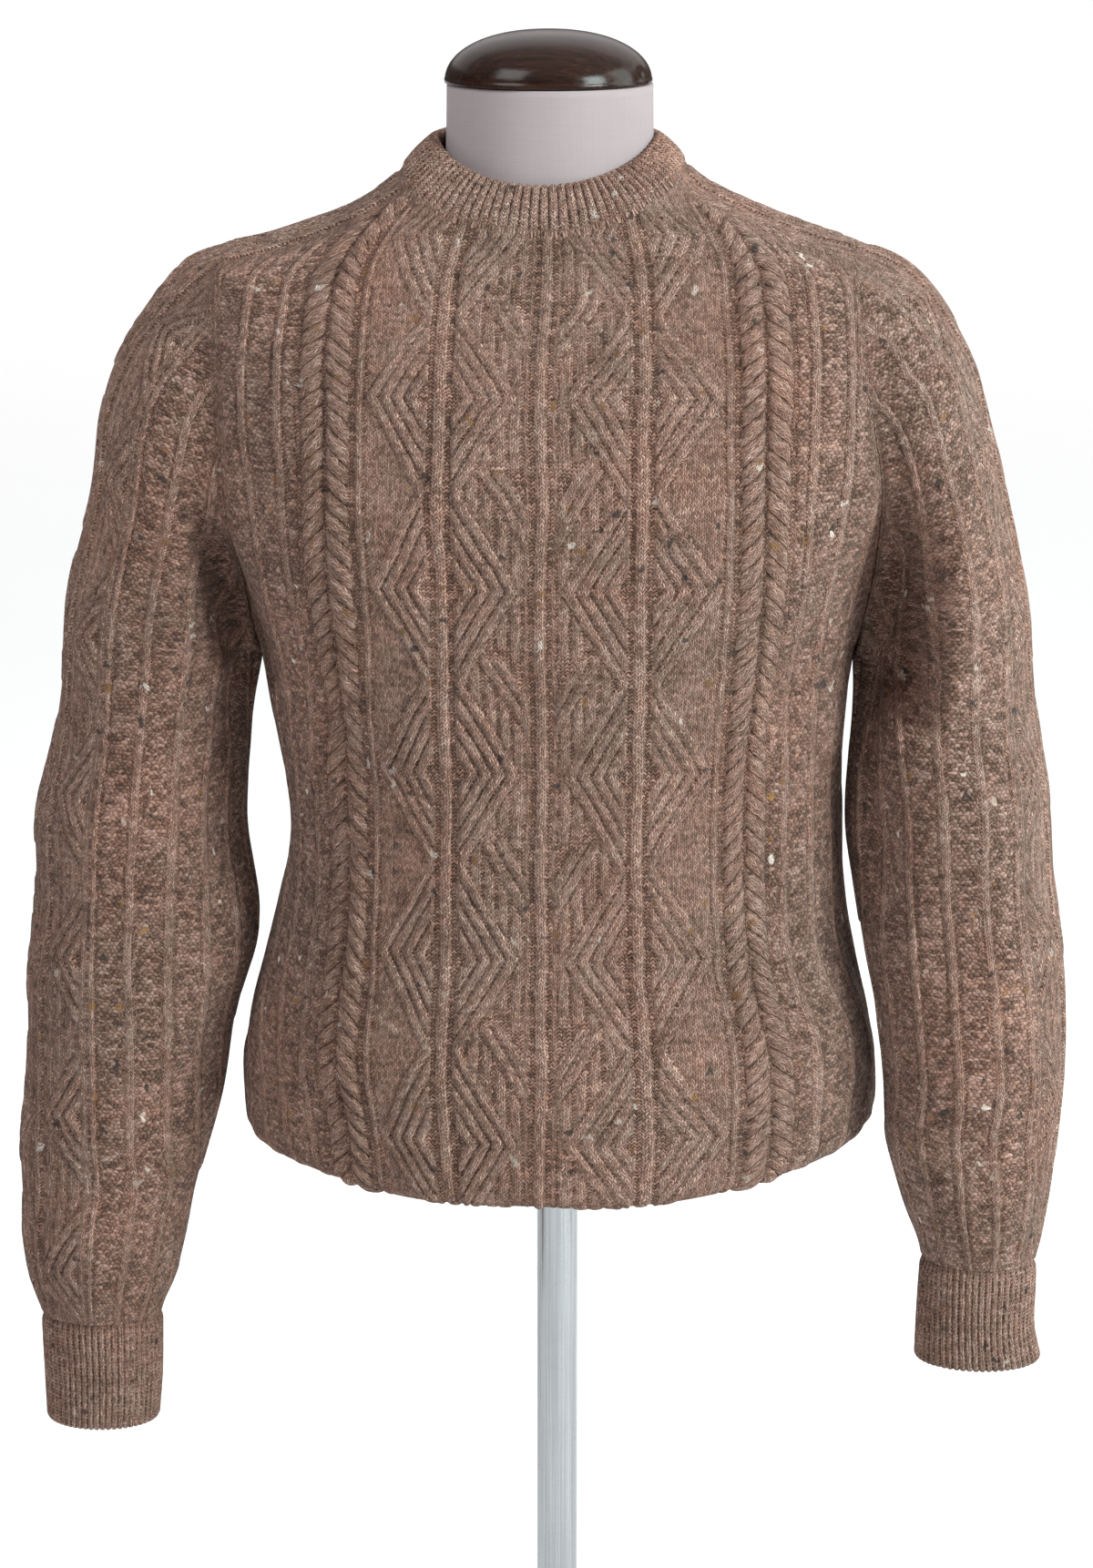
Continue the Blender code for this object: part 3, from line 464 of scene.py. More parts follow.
# ------------------------------------------------------------ the sleeves
def sleeve_rows(front, back, outer, half_front, half_back, flat, around):
    """Rows of points round the sleeve, [row, place]. around runs from the
    front seam (-1) over the outer line (0) to the back seam (1)."""
    w = around[None, :]
    fore = w < 0
    seam_at = np.where(fore[..., None], front[:, None], back[:, None])
    face = np.where(fore, -1.0, 1.0)
    half = np.where(fore, half_front[:, None], half_back[:, None])
    o_ = outer[:, None]
    u = 1 - np.abs(w)
    reach = face * (seam_at[..., 1] - o_[..., 1])
    half = np.maximum(np.maximum(half, reach * 1.0001), 1e-6)
    start = np.arcsin(np.clip(reach / half, 0, 1))
    phi = start + (pi - start) * u
    o = (np.cos(start) - np.cos(phi)) / (np.cos(start) + 1)
    y = o_[..., 1] + face * half * np.sin(phi)
    flat = flat[:, None]
    o = o * (1 - flat) + (1 - (1 - u) ** 2) * flat
    y = y * (1 - flat) + (seam_at[..., 1] + (o_[..., 1] - seam_at[..., 1]) * u) * flat
    p = seam_at + (o_ - seam_at) * o[..., None]
    return np.stack([p[..., 0], y, p[..., 2]], -1)


def sleeve_lines(side):
    name = "right" if side < 0 else "left"
    tube = SLEEVE_RIGHT if side < 0 else SLEEVE_LEFT
    rx, rz = np.array(column(RIDGE, name + "_x")), np.array(column(RIDGE, name + "_z"))
    front, back = saddle_line(side, -1, 60)[::-1], saddle_line(side, 1, 60)[::-1]
    f_arc, b_arc = arc_lengths(front), arc_lengths(back)
    xs = np.linspace(rx[0], rx[-1], 60)
    ridge = np.stack([side * xs, np.zeros(60), smooth(xs, rx, rz)], -1)
    r_arc = arc_lengths(ridge)
    seam_z = np.linspace(CORNER_Z, UNDERARM_Z, 80)
    seam_f, seam_b = seam_point(seam_z, side, -1), seam_point(seam_z, side, 1)
    seam_f[-1, 1] = seam_b[-1, 1] = tube[0].y
    sf_arc, sb_arc = arc_lengths(seam_f), arc_lengths(seam_b)
    cx, cz = np.array(column(CAP_LINE, name + "_x")), np.array(column(CAP_LINE, name + "_z"))
    cap = np.stack([side * cx, np.zeros(len(cx)), cz], -1)
    c_arc = arc_lengths(cap)
    c_depth = np.array(column(CAP_LINE, "half_depth"))

    def strap(f):
        a = along(front, f_arc, f * f_arc[-1])
        b = along(back, b_arc, f * b_arc[-1])
        o = along(ridge, r_arc, f * r_arc[-1])
        return a, b, o, np.abs(a[:, 1]), np.abs(b[:, 1]), np.ones(len(f))

    def cap_row(f):
        a = along(seam_f, sf_arc, f * sf_arc[-1])
        b = along(seam_b, sb_arc, f * sb_arc[-1])
        s = f * c_arc[-1]
        o = np.stack([smooth(s, c_arc, cap[:, k]) for k in range(3)], -1)
        o[:, 1] = tube[0].y * f
        h = smooth(s, c_arc, c_depth)
        return a, b, o, h, h, 1 - step(f / 0.30)

    def tube_row(z, table=tube):
        z = np.asarray(z, float)
        outer, inner = read(table, "outer", z), read(table, "inner", z)
        y, h = read(table, "y", z), read(table, "depth", z) / 2
        i = np.stack([side * inner, y, z], -1)
        o = np.stack([side * outer, y, z], -1)
        return i, i, o, h, h, np.zeros(len(z))

    return strap, cap_row, tube_row


def folded(points, around, folds, sewn=False):
    """Pushes the soft folds into rows of sleeve points. Where the row is
    sewn at both ends, the ends stay on the seam."""
    hold = step((1 - np.abs(around)) / 0.14)[None, :] if sewn else 1.0
    for fold in folds:
        middle = fold.around + fold.lean * (points[..., 2] - fold.z)
        across = (around[None, :] - middle) / fold.width
        down = (points[..., 2] - fold.z) / fold.height
        dent = fold.depth * np.exp(-(across**2) - down**2)
        away = points - points.mean(1, keepdims=True)
        away[..., 2] = 0
        points = points - unit(away) * (dent * hold)[..., None]
    return points


def spread(row_points, around, columns):
    """Each row again, with its points evenly spaced from the front seam to
    the outer line and from there to the back seam. Also gives the distance
    from the outer line."""
    middle = len(around) // 2
    half = columns // 2
    out = np.zeros((len(row_points), columns + 1, 3))
    dist = np.zeros((len(row_points), columns + 1))
    for j, p in enumerate(row_points):
        s = arc_lengths(p)
        s0 = s[middle]
        at = np.concatenate([np.linspace(0, s0, half + 1), np.linspace(s0, s[-1], half + 1)[1:]])
        out[j] = along(p, s, at)
        dist[j] = at - s0
    return out, dist


def sleeve(side, columns, strap_rows, cap_rows, tube_rows, folds):
    strap, cap_row, tube_row = sleeve_lines(side)
    table = SLEEVE_RIGHT if side < 0 else SLEEVE_LEFT
    around = np.sign(np.linspace(-1, 1, 601)) * np.abs(np.linspace(-1, 1, 601))
    rows = [
        sleeve_rows(*strap(np.arange(strap_rows) / strap_rows), around),
        folded(sleeve_rows(*cap_row(np.arange(cap_rows) / cap_rows), around), around, folds, True),
        folded(
            sleeve_rows(*tube_row(UNDERARM_Z + (table[-1].z - UNDERARM_Z) * np.linspace(0, 1, tube_rows + 1)), around),
            around,
            folds,
        ),
    ]
    p, dist = spread(np.concatenate(rows), around, columns)
    middle = columns // 2
    down = arc_lengths(p[:, middle])
    n = strap_rows + cap_rows
    edge = np.full(dist.shape, 1.0)
    edge[:n] = np.minimum(dist[:n] - dist[:n, :1], dist[:n, -1:] - dist[:n])
    edge = np.minimum(edge, down[:, None])
    return p, dist, np.broadcast_to(down[:, None], dist.shape), edge, n


# ------------------------------------------------------------ the collar
def collar_base(n):
    parts = []
    for side in (1, -1):
        strap, _, _ = sleeve_lines(side)
        over = sleeve_rows(*strap(np.zeros(1)), np.linspace(-1, 1, 61))[0]
        front = neck_line(side, -1, 40)[::-1]
        back = neck_line(side, 1, 40)
        half = np.concatenate([front[:-1], over, back[1:]])
        parts.append(half if side > 0 else half[::-1])
    ring = np.concatenate([parts[0], parts[1][1:-1]])
    closed = np.concatenate([ring, ring[:1]])
    s = arc_lengths(closed)
    return along(closed, s, np.linspace(0, s[-1], n, endpoint=False))


def collar_top(base):
    t = COLLAR_TOP
    out = np.zeros_like(base)
    angle = np.arctan2(base[:, 0] - t.x, -base[:, 1])
    c, s = np.cos(angle), np.sin(angle)
    out[:, 0] = t.x + np.where(s > 0, t.half_left, t.half_right) * s
    out[:, 1] = -np.where(c > 0, t.half_front, t.half_back) * c
    out[:, 2] = t.side_z + np.where(
        c > 0, (t.front - t.side_z) * np.abs(c) ** 1.6, (t.back - t.side_z) * c * c
    )
    return out
# ---------------------------------------------------------- the knitted relief
def grain(a, b, size_a, size_b, seed):
    """Smooth random values, -1 to 1, over two coordinates."""
    rng = np.random.default_rng(seed)
    table = rng.uniform(-1, 1, (64, 64))
    i, j = a / size_a + 1000, b / size_b + 1000
    i0, j0 = np.floor(i).astype(int), np.floor(j).astype(int)
    f, g = step(i - i0), step(j - j0)
    at = lambda m, n: table[m % 64, n % 64]
    return (
        at(i0, j0) * (1 - f) * (1 - g)
        + at(i0 + 1, j0) * f * (1 - g)
        + at(i0, j0 + 1) * (1 - f) * g
        + at(i0 + 1, j0 + 1) * f * g
    )


class Knit:
    """The relief and the stitches on a grid of knit columns w and rows r. h
    is the height in millimetres. Ribs and travelling ribs have columns u of
    their own, where own is 1. purl, seed, rope and travel say how much each
    point is of that stitch, and x is the place across a rope."""

    def __init__(self, w, r):
        self.w, self.r = w, r
        self.u, self.own = w + 0.0, np.zeros(w.shape)
        self.h = np.full(w.shape, -0.15)
        self.purl, self.seed, self.rope, self.x, self.travel = (np.zeros(w.shape) for _ in range(5))

    def lay(self, m, h=None, u=None, purl=0.0, seed=0.0, rope=0.0, x=None, travel=0.0):
        if h is not None:
            self.h = self.h * (1 - m) + h * m
        self.purl = self.purl * (1 - m) + purl * m
        self.seed = self.seed * (1 - m) + seed * m
        self.rope = self.rope * (1 - m) + rope * m
        self.travel = self.travel * (1 - m) + travel * m
        if u is not None:
            self.u = np.where(m > 0.02, u, self.u)
        self.own = self.own * (1 - m) + (u is not None) * m
        if x is not None:
            self.x = np.where(m > 0.01, x, self.x)


def ridge(d, half):
    """The round top of a rib of that half width, at a distance d from it."""
    return np.sqrt(np.clip(1 - (d / half) ** 2, 0, 1))


def chevrons(k, x, q, last, count, low, strength=1.0):
    """Nested travelling ribs round a diamond, by q, the distance out from its
    middle. The outermost is at last and each is 3.1 columns inside the next."""
    n = np.clip(np.round((last - q) / 3.1), 0, count - 1)
    d = q - (last - 3.1 * n)
    inside = gate(q, -1, last + 1.7, 0.5) * gate(np.abs(x), 2.7, 99, 0.5)
    k.lay(inside, -0.80, purl=1.0, u=d / 1.15)
    on = inside * gate(np.abs(d), -9, 1.22, 0.3) * gate(q, low, 99, 0.6)
    k.lay(on, (-0.5 + 1.75 * ridge(d, 1.42)) * strength * (1 + 0.18 * grain(k.w, k.r, 5, 9, 31)), u=d / 1.15, travel=1.0)


def spine(k, x, half=1.2, height=0.95, gap=1.6):
    """A vertical rib between two purl gaps."""
    k.lay(gate(np.abs(x), -9, half + gap, 0.5), -0.80, purl=1.0, u=x / half)
    k.lay(gate(np.abs(x), -9, half, 0.35), -0.5 + (height + 0.55) * ridge(x, half * 1.25) * (1 + 0.15 * grain(k.w, k.r, 9, 6, 32)), u=x / half)


def ropes(k, aw, groove):
    """Two twisted ropes side by side, whose strands climb towards the purl
    ladder between them from both sides."""
    k.lay(gate(np.abs(aw - groove), -9, 7.1, 0.4), -0.95, purl=1.0)
    for middle, climb in ((groove - ROPE_MIDDLE, 1), (groove + ROPE_MIDDLE, -1)):
        x = (aw - middle) * climb
        m = gate(np.abs(x), -9, ROPE_HALF, 0.25)
        turn = k.r / ROPE_ROWS - ROPE_RISE * np.arcsin(np.clip(x / (ROPE_HALF + 0.35), -1, 1)) / pi
        f = 2 * (turn - np.floor(turn)) - 1
        strand = 0.14 + 0.86 * np.sqrt(np.clip(1 - np.abs(f) ** 2.0, 0, 1))
        full = 1 + 0.12 * grain(np.floor(turn) * 3.1, np.sign(x) + middle, 1.0, 1.0, 77)
        plump = ROPE_HALF * (0.70 + 0.36 * np.sqrt(np.clip(1 - f**2, 0, 1)))
        h = -0.95 + 3.7 * strand * full * ridge(x, plump) ** 0.8
        k.lay(m, h, rope=1.0, x=x)


ROPE_ROWS, ROPE_MIDDLE, ROPE_HALF, ROPE_RISE = 5.4, 3.0, 2.5, 1.6


def side_ribs(k, a, first, space, from_, half=0.95):
    """Narrow ribs with seed stitch between them."""
    k.lay(gate(a, from_, 999, 0.4), -0.25, seed=1.0)
    n = np.maximum(np.round((a - first) / space), 0)
    d = a - (first + space * n)
    on = gate(a, from_ + 0.8, 999, 0.4)
    k.lay(on * gate(np.abs(d), -9, half + 0.75, 0.3), -0.85, purl=1.0, u=d / half)
    k.lay(on * gate(np.abs(d), -9, half, 0.35), -0.30 + 0.85 * ridge(d, half * 1.2) * (1 + 0.2 * grain(k.w, k.r, 7, 8, 33)), u=d / half, seed=0.3)


def by_hand(w, r, seed, amount=1.0):
    """Knitting is never quite regular: the lattice wanders a little."""
    dw = 0.42 * grain(w, r, 13, 19, seed) + 0.16 * grain(w, r, 3.1, 4.7, seed + 1)
    dr = 0.70 * grain(w, r, 15, 13, seed + 2) + 0.25 * grain(w, r, 3.7, 3.1, seed + 3)
    return w + dw * amount, r + dr * amount


def body_knit(w, r, front):
    w, r = by_hand(w, r, 40 if front else 50)
    k = Knit(w, r)
    lean = 0.7 * (1 - step((np.abs(w) - 26) / 10)) if front else 0.0
    c = w + lean
    a = np.abs(c)
    x = a - 21.8
    at = r - 50 * np.round(r / 50)
    q = np.abs(x) + 0.5 * np.abs(at)
    # the trees between the diamonds
    waist = (r - 25) - 50 * np.round((r - 25) / 50)
    g = a - 0.5 * waist
    tree = gate(a, 3.4, 22, 0.4) * (x < 0)
    d = a - (5.3 + 3.1 * np.round((a - 5.3) / 3.1))
    k.lay(tree, -0.70, purl=1.0, u=d)
    column_ = np.round((a - 5.3) / 3.1)
    ragged = 4.0 * grain(column_ * 7.3 + np.sign(c) * 31, np.round((r - 25) / 50) * 11.1, 1, 1, 61)
    upright = tree * np.maximum(step((waist - 6.5 - ragged) / 4), step((g - 10.9) / 0.8))
    d = a - (5.3 + 3.1 * column_)
    k.lay(upright * gate(np.abs(d), -9, 1.08, 0.3), -0.5 + 0.9 * ridge(d, 1.3), u=d + 0.0)
    for middle in (9.2, 6.1):
        d = g - middle
        k.lay(tree * (1 - step((waist - 5.0 - 0.4 * ragged) / 3)) * gate(np.abs(d), -9, 1.2, 0.3), -0.5 + 1.6 * ridge(d, 1.38), u=d / 1.15, travel=1.0)
    # plain knit outside the diamonds, as far as a thin rib
    k.lay(gate(x, 0, 99, 0.4), -0.2)
    chevrons(k, x, q, 15.6, 4, 4.9)
    spine(k, x)
    spine(k, c, half=1.1)
    aw = np.abs(w)
    k.lay(gate(aw, 38.4, 42.4, 0.4), -0.85, purl=1.0)
    k.lay(gate(aw, 39.2, 40.5, 0.3), 0.25, u=aw - 39.35)
    # seed stitch and ribs at the sides, spread a little on the left hip
    spread_ = 1 + np.where((w > 0) & front, 0.36 * np.exp(-(((r - 10) / 24) ** 2)), 0.0)
    side = 54 + (aw - 54) / spread_
    side_ribs(k, side, 59.2, 9.2, 54.2)
    ropes(k, aw, GROOVE_WALE)
    return k


def sleeve_knit(dist, down, side, length):
    """dist is the distance round the sleeve from its outer line, down that
    along it."""
    middle = SLEEVE_MIDDLE[side] + (0.010 * step((down - 0.50) / 0.17) if side > 0 else 0.0)
    # the columns draw together where the sleeve is gathered into its cuff
    girth = dist[:, -1:] - dist[:, :1]
    full = np.argmin(np.abs(down[-1, 0] - down[:, 0] - 0.085))
    dist = dist * np.where(down > down[full, 0], girth[full, 0] / girth, 1.0)
    w = (dist - middle) / WALE
    r = (SLEEVE_DIAMOND[side] - down) / ROW_HEIGHT
    w, r = by_hand(w, r, 70 + side)
    k = Knit(w, r)
    a = np.abs(w)
    x = a - 15.7
    at = r - 45 * np.round(r / 45)
    q = np.abs(x) + 0.56 * np.abs(at)
    k.lay(gate(a, -9, 15.7, 0.4), -0.6, purl=0.75, seed=0.25)
    # low upright ribs in the corners between the half diamonds
    d = a - (4.4 + 3.1 * np.round((a - 4.4) / 3.1))
    k.lay(gate(a, 3.0, 15, 0.4) * gate(np.abs(d), -9, 1.0, 0.3), -0.5 + 0.7 * ridge(d, 1.3), u=(a - 4.4) * 3 / 3.1)
    chevrons(k, np.where(x < 0, x, 99.0), np.where(x < 0, q, 99.0), 12.3, 3, 3.4)
    spine(k, w, half=0.9, height=0.8, gap=1.1)
    side_ribs(k, a, 15.7, SLEEVE_RIB_SPACE, 14.6)
    return k


SLEEVE_MIDDLE = {-1: -0.0378, 1: -0.0150}
SLEEVE_DIAMOND = {-1: 0.550, 1: 0.533}
SLEEVE_RIB_SPACE = 9.25


def seam_groove(k, edge, depth=0.9, reach=0.0042):
    """Towards a sewn edge the cloth is plain knit, with a shallow groove
    beside the line where the two edges meet."""
    m = 1 - step((edge - 0.0012) / reach)
    k.h = (k.h * (1 - m) - depth * m) * step(edge / 0.0022)
    k.purl, k.seed, k.rope, k.own = k.purl * (1 - m), k.seed * (1 - m), k.rope * (edge > 0.003), k.own * (1 - m)


def rib_knit(n, rows, phase=0.0, relief=1.0):
    """1x1 rib on a ring: n knit columns round, by place 0..1 and row."""
    place, row = rows
    w = place * n + phase
    k = Knit(w * 2, row)
    f = w - np.floor(w) - 0.5
    k.h = (-0.9 + 2.2 * ridge(f, 0.46)) * relief
    k.u, k.own = f / 0.62 + 0.5, np.ones(w.shape)
    k.purl = 1 - gate(np.abs(f), -9, 0.32, 0.06)
    return k


# -------------------------------------------------------------- mesh building
# Where the worn cloth gives a little, in metres: moves by dx and dz round a
# place at x, z, with the reach of each.
Give = namedtuple("Give", "x z reach_x reach_z dx dz")
GIVE = [
    Give(-0.132, 0.945, 0.042, 0.080, 0.0, -0.0046),
    Give(0.130, 0.945, 0.042, 0.080, 0.0, -0.0034),
    Give(-0.080, 0.955, 0.022, 0.016, 0.0030, 0.0),
    Give(0.078, 0.955, 0.022, 0.016, -0.0034, 0.0),
    Give(0.262, 0.820, 0.045, 0.034, -0.0055, 0.0),
    Give(0.300, 0.555, 0.050, 0.040, -0.0032, 0.0),
    Give(-0.310, 0.617, 0.050, 0.034, 0.0050, 0.0),
    Give(0.295, 0.285, 0.035, 0.020, -0.0030, 0.0),
    Give(-0.158, 0.393, 0.050, 0.050, 0.0, 0.0065),
    Give(0.162, 0.393, 0.055, 0.050, 0.0, 0.0100),
    Give(-0.170, 0.930, 0.025, 0.050, 0.0, -0.0030),
]
# The valley between each sleeve and the body, in front, from its top to the
# underarm: where it runs, how wide it is, how deep and how far from the front.
Valley = namedtuple("Valley", "low_x low_z high_x high_z inner outer depth fade lip")
VALLEYS = [
    Valley(-0.1775, 0.699, -0.2000, 0.783, 0.0135, 0.0140, 0.032, 0.055, 0.003),
    Valley(0.1930, 0.699, 0.1920, 0.783, 0.0260, 0.0220, 0.056, 0.085, 0.009),
]


def settled(p):
    x, y, z = p[..., 0], p[..., 1], p[..., 2]
    dx, dy, dz = 0 * x, 0 * x, 0 * x
    for g in GIVE:
        m = np.exp(-(((x - g.x) / g.reach_x) ** 2) - ((z - g.z) / g.reach_z) ** 2)
        dx, dz = dx + g.dx * m, dz + g.dz * m
    for v in VALLEYS:
        f = (z - v.low_z) / (v.high_z - v.low_z)
        middle = v.low_x + (v.high_x - v.low_x) * f
        width = np.where((x - middle) * np.sign(v.low_x) > 0, v.outer, v.inner) * (1 - 0.35 * step(f))
        sharp = np.where((x - middle) * np.sign(v.low_x) > 0, 3.6, 2.2)
        along_ = step((v.high_z + 0.012 - z) / 0.075) * step((z - 0.640) / 0.035)
        dy = dy + v.depth * along_ * np.exp(-(np.abs((x - middle) / width) ** sharp)) * step(-y / v.fade)
        lip = np.exp(-(((x - middle - np.sign(v.low_x) * (v.outer + 0.013)) / 0.013) ** 2))
        dy = dy - v.lip * along_ * lip * step(-y / 0.03)
    return p + np.stack([dx, dy, dz], -1)


def grid_mesh(name, p, knit, mat, flip, closed=False, cavity=None):
    """A grid of points as a mesh, with a flat 0-1 panel UV for baking and the
    stitch lattice kept at each point."""
    if knit is not None:
        p = settled(p)
    rows, cols = p.shape[:2]
    index = np.arange(rows * cols, dtype=np.int32).reshape(rows, cols)
    quads = np.stack([index[:-1, :-1], index[:-1, 1:], index[1:, 1:], index[1:, :-1]], -1).reshape(-1, 4)
    if flip:
        quads = quads[:, ::-1]
    quads = np.ascontiguousarray(quads)
    mesh = bpy.data.meshes.new(name)
    mesh.vertices.add(rows * cols)
    mesh.vertices.foreach_set("co", p.reshape(-1).astype(np.float32))
    mesh.loops.add(quads.size)
    mesh.loops.foreach_set("vertex_index", quads.reshape(-1))
    mesh.polygons.add(len(quads))
    mesh.polygons.foreach_set("loop_start", np.arange(len(quads), dtype=np.int32) * 4)
    mesh.update(calc_edges=True)
    mesh.polygons.foreach_set("use_smooth", np.ones(len(quads), bool))
    uv = np.stack(np.meshgrid(np.linspace(0.002, 0.998, cols), np.linspace(0.002, 0.998, rows)), -1).reshape(-1, 2)
    layer = mesh.uv_layers.new(name="OFBake")
    layer.data.foreach_set("uv", uv[quads.reshape(-1)].reshape(-1).astype(np.float32))
    if knit is not None:
        st = mesh.attributes.new("st", "FLOAT_VECTOR", "POINT")
        st.data.foreach_set("vector", np.stack([knit.u, knit.own, knit.x], -1).reshape(-1).astype(np.float32))
        # painted shade: how deep a point lies in the relief, kept in the alpha of kd, for the wool to darken the
        # grooves and lighten the ridges
        groove_shade = np.clip((0.6 - knit.h) / 2.4, 0, 1)
        wr = mesh.attributes.new("wr", "FLOAT_VECTOR", "POINT")
        wr.data.foreach_set("vector", np.stack([knit.w, knit.r, knit.travel], -1).reshape(-1).astype(np.float32))
        kd = mesh.attributes.new("kd", "FLOAT_COLOR", "POINT")
        kd.data.foreach_set("color", np.stack([knit.purl, knit.seed, knit.rope, groove_shade], -1).reshape(-1).astype(np.float32))
    mesh.validate()
    ob = bpy.data.objects.new(name, mesh)
    bpy.context.scene.collection.objects.link(ob)
    ob.data.materials.append(mat)
    return ob


def area_of(p):
    a = np.linalg.norm(np.cross(p[:-1, 1:] - p[:-1, :-1], p[1:, :-1] - p[:-1, :-1]), axis=2)
    b = np.linalg.norm(np.cross(p[1:, :-1] - p[1:, 1:], p[:-1, 1:] - p[1:, 1:]), axis=2)
    return float((a.sum() + b.sum()) / 2)


def cut_of(p):
    """Width and length of the cut, as the widest and longest it is."""
    wide = np.linalg.norm(np.diff(p, axis=1), axis=2).sum(1).max()
    long_ = np.linalg.norm(np.diff(p, axis=0), axis=2).sum(0).max()
    return float(wide), float(long_)


def declare(ob, base, nodes):
    wide, long_ = cut_of(base)
    area = min(area_of(base), wide * long_)
    SIZES[ob.name] = [round(wide, 4), round(long_, 4), round(area, 4)]
    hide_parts(*nodes)
    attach(ob, "root")


SIZES = {}


def tucked(p, n, k_list, cols=True, top=True, depth=0.0035):
    """Adds a turned-in edge to a grid: its outermost points again, moved in
    under the cloth, so that a seam never shows light."""
    def grown(a, first, last, axis):
        return np.concatenate([first, a, last] if first is not None else [a, last], axis)
    q = p
    if cols:
        first = q[:, :1] - n[:, :1] * depth + unit(q[:, :1] - q[:, 1:2]) * 0.0012
        last = q[:, -1:] - n[:, -1:] * depth + unit(q[:, -1:] - q[:, -2:-1]) * 0.0012
        q = np.concatenate([first, q, last], 1)
        n = np.concatenate([n[:, :1], n, n[:, -1:]], 1)
        k_list = [np.concatenate([a[:, :1], a, a[:, -1:]], 1) for a in k_list]
    if top:
        last = q[-1:] - n[-1:] * depth + unit(q[-1:] - q[-2:-1]) * 0.0012
        q = np.concatenate([q, last], 0)
        k_list = [np.concatenate([a, a[-1:]], 0) for a in k_list]
    return q, k_list


PARTS = ("w", "r", "u", "own", "x", "h", "purl", "seed", "rope", "travel")


def tucked_knit(p, n, k):
    q, parts = tucked(p, n, [getattr(k, key) for key in PARTS])
    for key, a in zip(PARTS, parts):
        setattr(k, key, a)
    return q
# ----------------------------------------------------------------- materials
class Tree:
    """Short calls for shader nodes."""

    def __init__(self, name):
        self.mat = bpy.data.materials.new(name)
        self.mat.use_nodes = True
        self.t = self.mat.node_tree
        self.bsdf = self.t.nodes["Principled BSDF"]

    def put(self, socket, value):
        if isinstance(value, bpy.types.NodeSocket):
            self.t.links.new(value, socket)
        else:
            socket.default_value = value

    def node(self, kind, **props):
        n = self.t.nodes.new(kind)
        for key, value in props.items():
            setattr(n, key, value)
        return n

    def math(self, op, a, b=0.0, c=0.0, clamp=False):
        n = self.node("ShaderNodeMath", operation=op, use_clamp=clamp)
        for socket, value in zip(n.inputs, (a, b, c)):
            self.put(socket, value)
        return n.outputs[0]

    def add(self, *v):
        out = v[0]
        for x in v[1:]:
            out = self.math("ADD", out, x)
        return out

    def mul(self, *v):
        out = v[0]
        for x in v[1:]:
            out = self.math("MULTIPLY", out, x)
        return out

    def sub(self, a, b):
        return self.math("SUBTRACT", a, b)

    def span(self, x, a, b, c=0.0, d=1.0, smooth_=True):
        n = self.node("ShaderNodeMapRange", interpolation_type="SMOOTHSTEP" if smooth_ else "LINEAR")
        for socket, value in zip(n.inputs, (x, a, b, c, d)):
            self.put(socket, value)
        return n.outputs[0]

    def mix(self, f, a, b):
        """Number mix."""
        n = self.node("ShaderNodeMix", data_type="FLOAT")
        self.put(n.inputs[0], f)
        self.put(n.inputs[2], a)
        self.put(n.inputs[3], b)
        return n.outputs[0]

    def blend(self, f, a, b, kind="MIX"):
        n = self.node("ShaderNodeMix", data_type="RGBA", blend_type=kind)
        self.put(n.inputs[0], f)
        self.put(n.inputs[6], a)
        self.put(n.inputs[7], b)
        return n.outputs[2]

    def attribute(self, name):
        return self.node("ShaderNodeAttribute", attribute_name=name, attribute_type="GEOMETRY")

    def split(self, v):
        n = self.node("ShaderNodeSeparateXYZ")
        self.put(n.inputs[0], v)
        return n.outputs

    def join(self, x, y, z=0.0):
        n = self.node("ShaderNodeCombineXYZ")
        for socket, value in zip(n.inputs, (x, y, z)):
            self.put(socket, value)
        return n.outputs[0]

    def place(self):
        return self.node("ShaderNodeTexCoord").outputs["Object"]

    def noise(self, vector, scale, detail=2.0, rough=0.5):
        n = self.node("ShaderNodeTexNoise")
        self.put(n.inputs["Vector"], vector)
        self.put(n.inputs["Scale"], scale)
        self.put(n.inputs["Detail"], detail)
        self.put(n.inputs["Roughness"], rough)
        return n.outputs[0]

    def white(self, vector):
        n = self.node("ShaderNodeTexWhiteNoise", noise_dimensions="3D")
        self.put(n.inputs["Vector"], vector)
        return n.outputs

    def stretch(self, vector, scale):
        n = self.node("ShaderNodeMapping")
        self.put(n.inputs["Vector"], vector)
        n.inputs["Scale"].default_value = scale
        return n.outputs[0]

    def ramp(self, f, stops):
        n = self.node("ShaderNodeValToRGB")
        self.put(n.inputs[0], f)
        e = n.color_ramp.elements
        while len(e) < len(stops):
            e.new(0.5)
        for el, (at, c) in zip(e, stops):
            el.position, el.color = at, (*c, 1)
        return n.outputs[0]

    def bump(self, height, distance, strength=1.0):
        n = self.node("ShaderNodeBump")
        self.put(n.inputs["Height"], height)
        n.inputs["Distance"].default_value = distance
        n.inputs["Strength"].default_value = strength
        self.t.links.new(n.outputs[0], self.bsdf.inputs["Normal"])


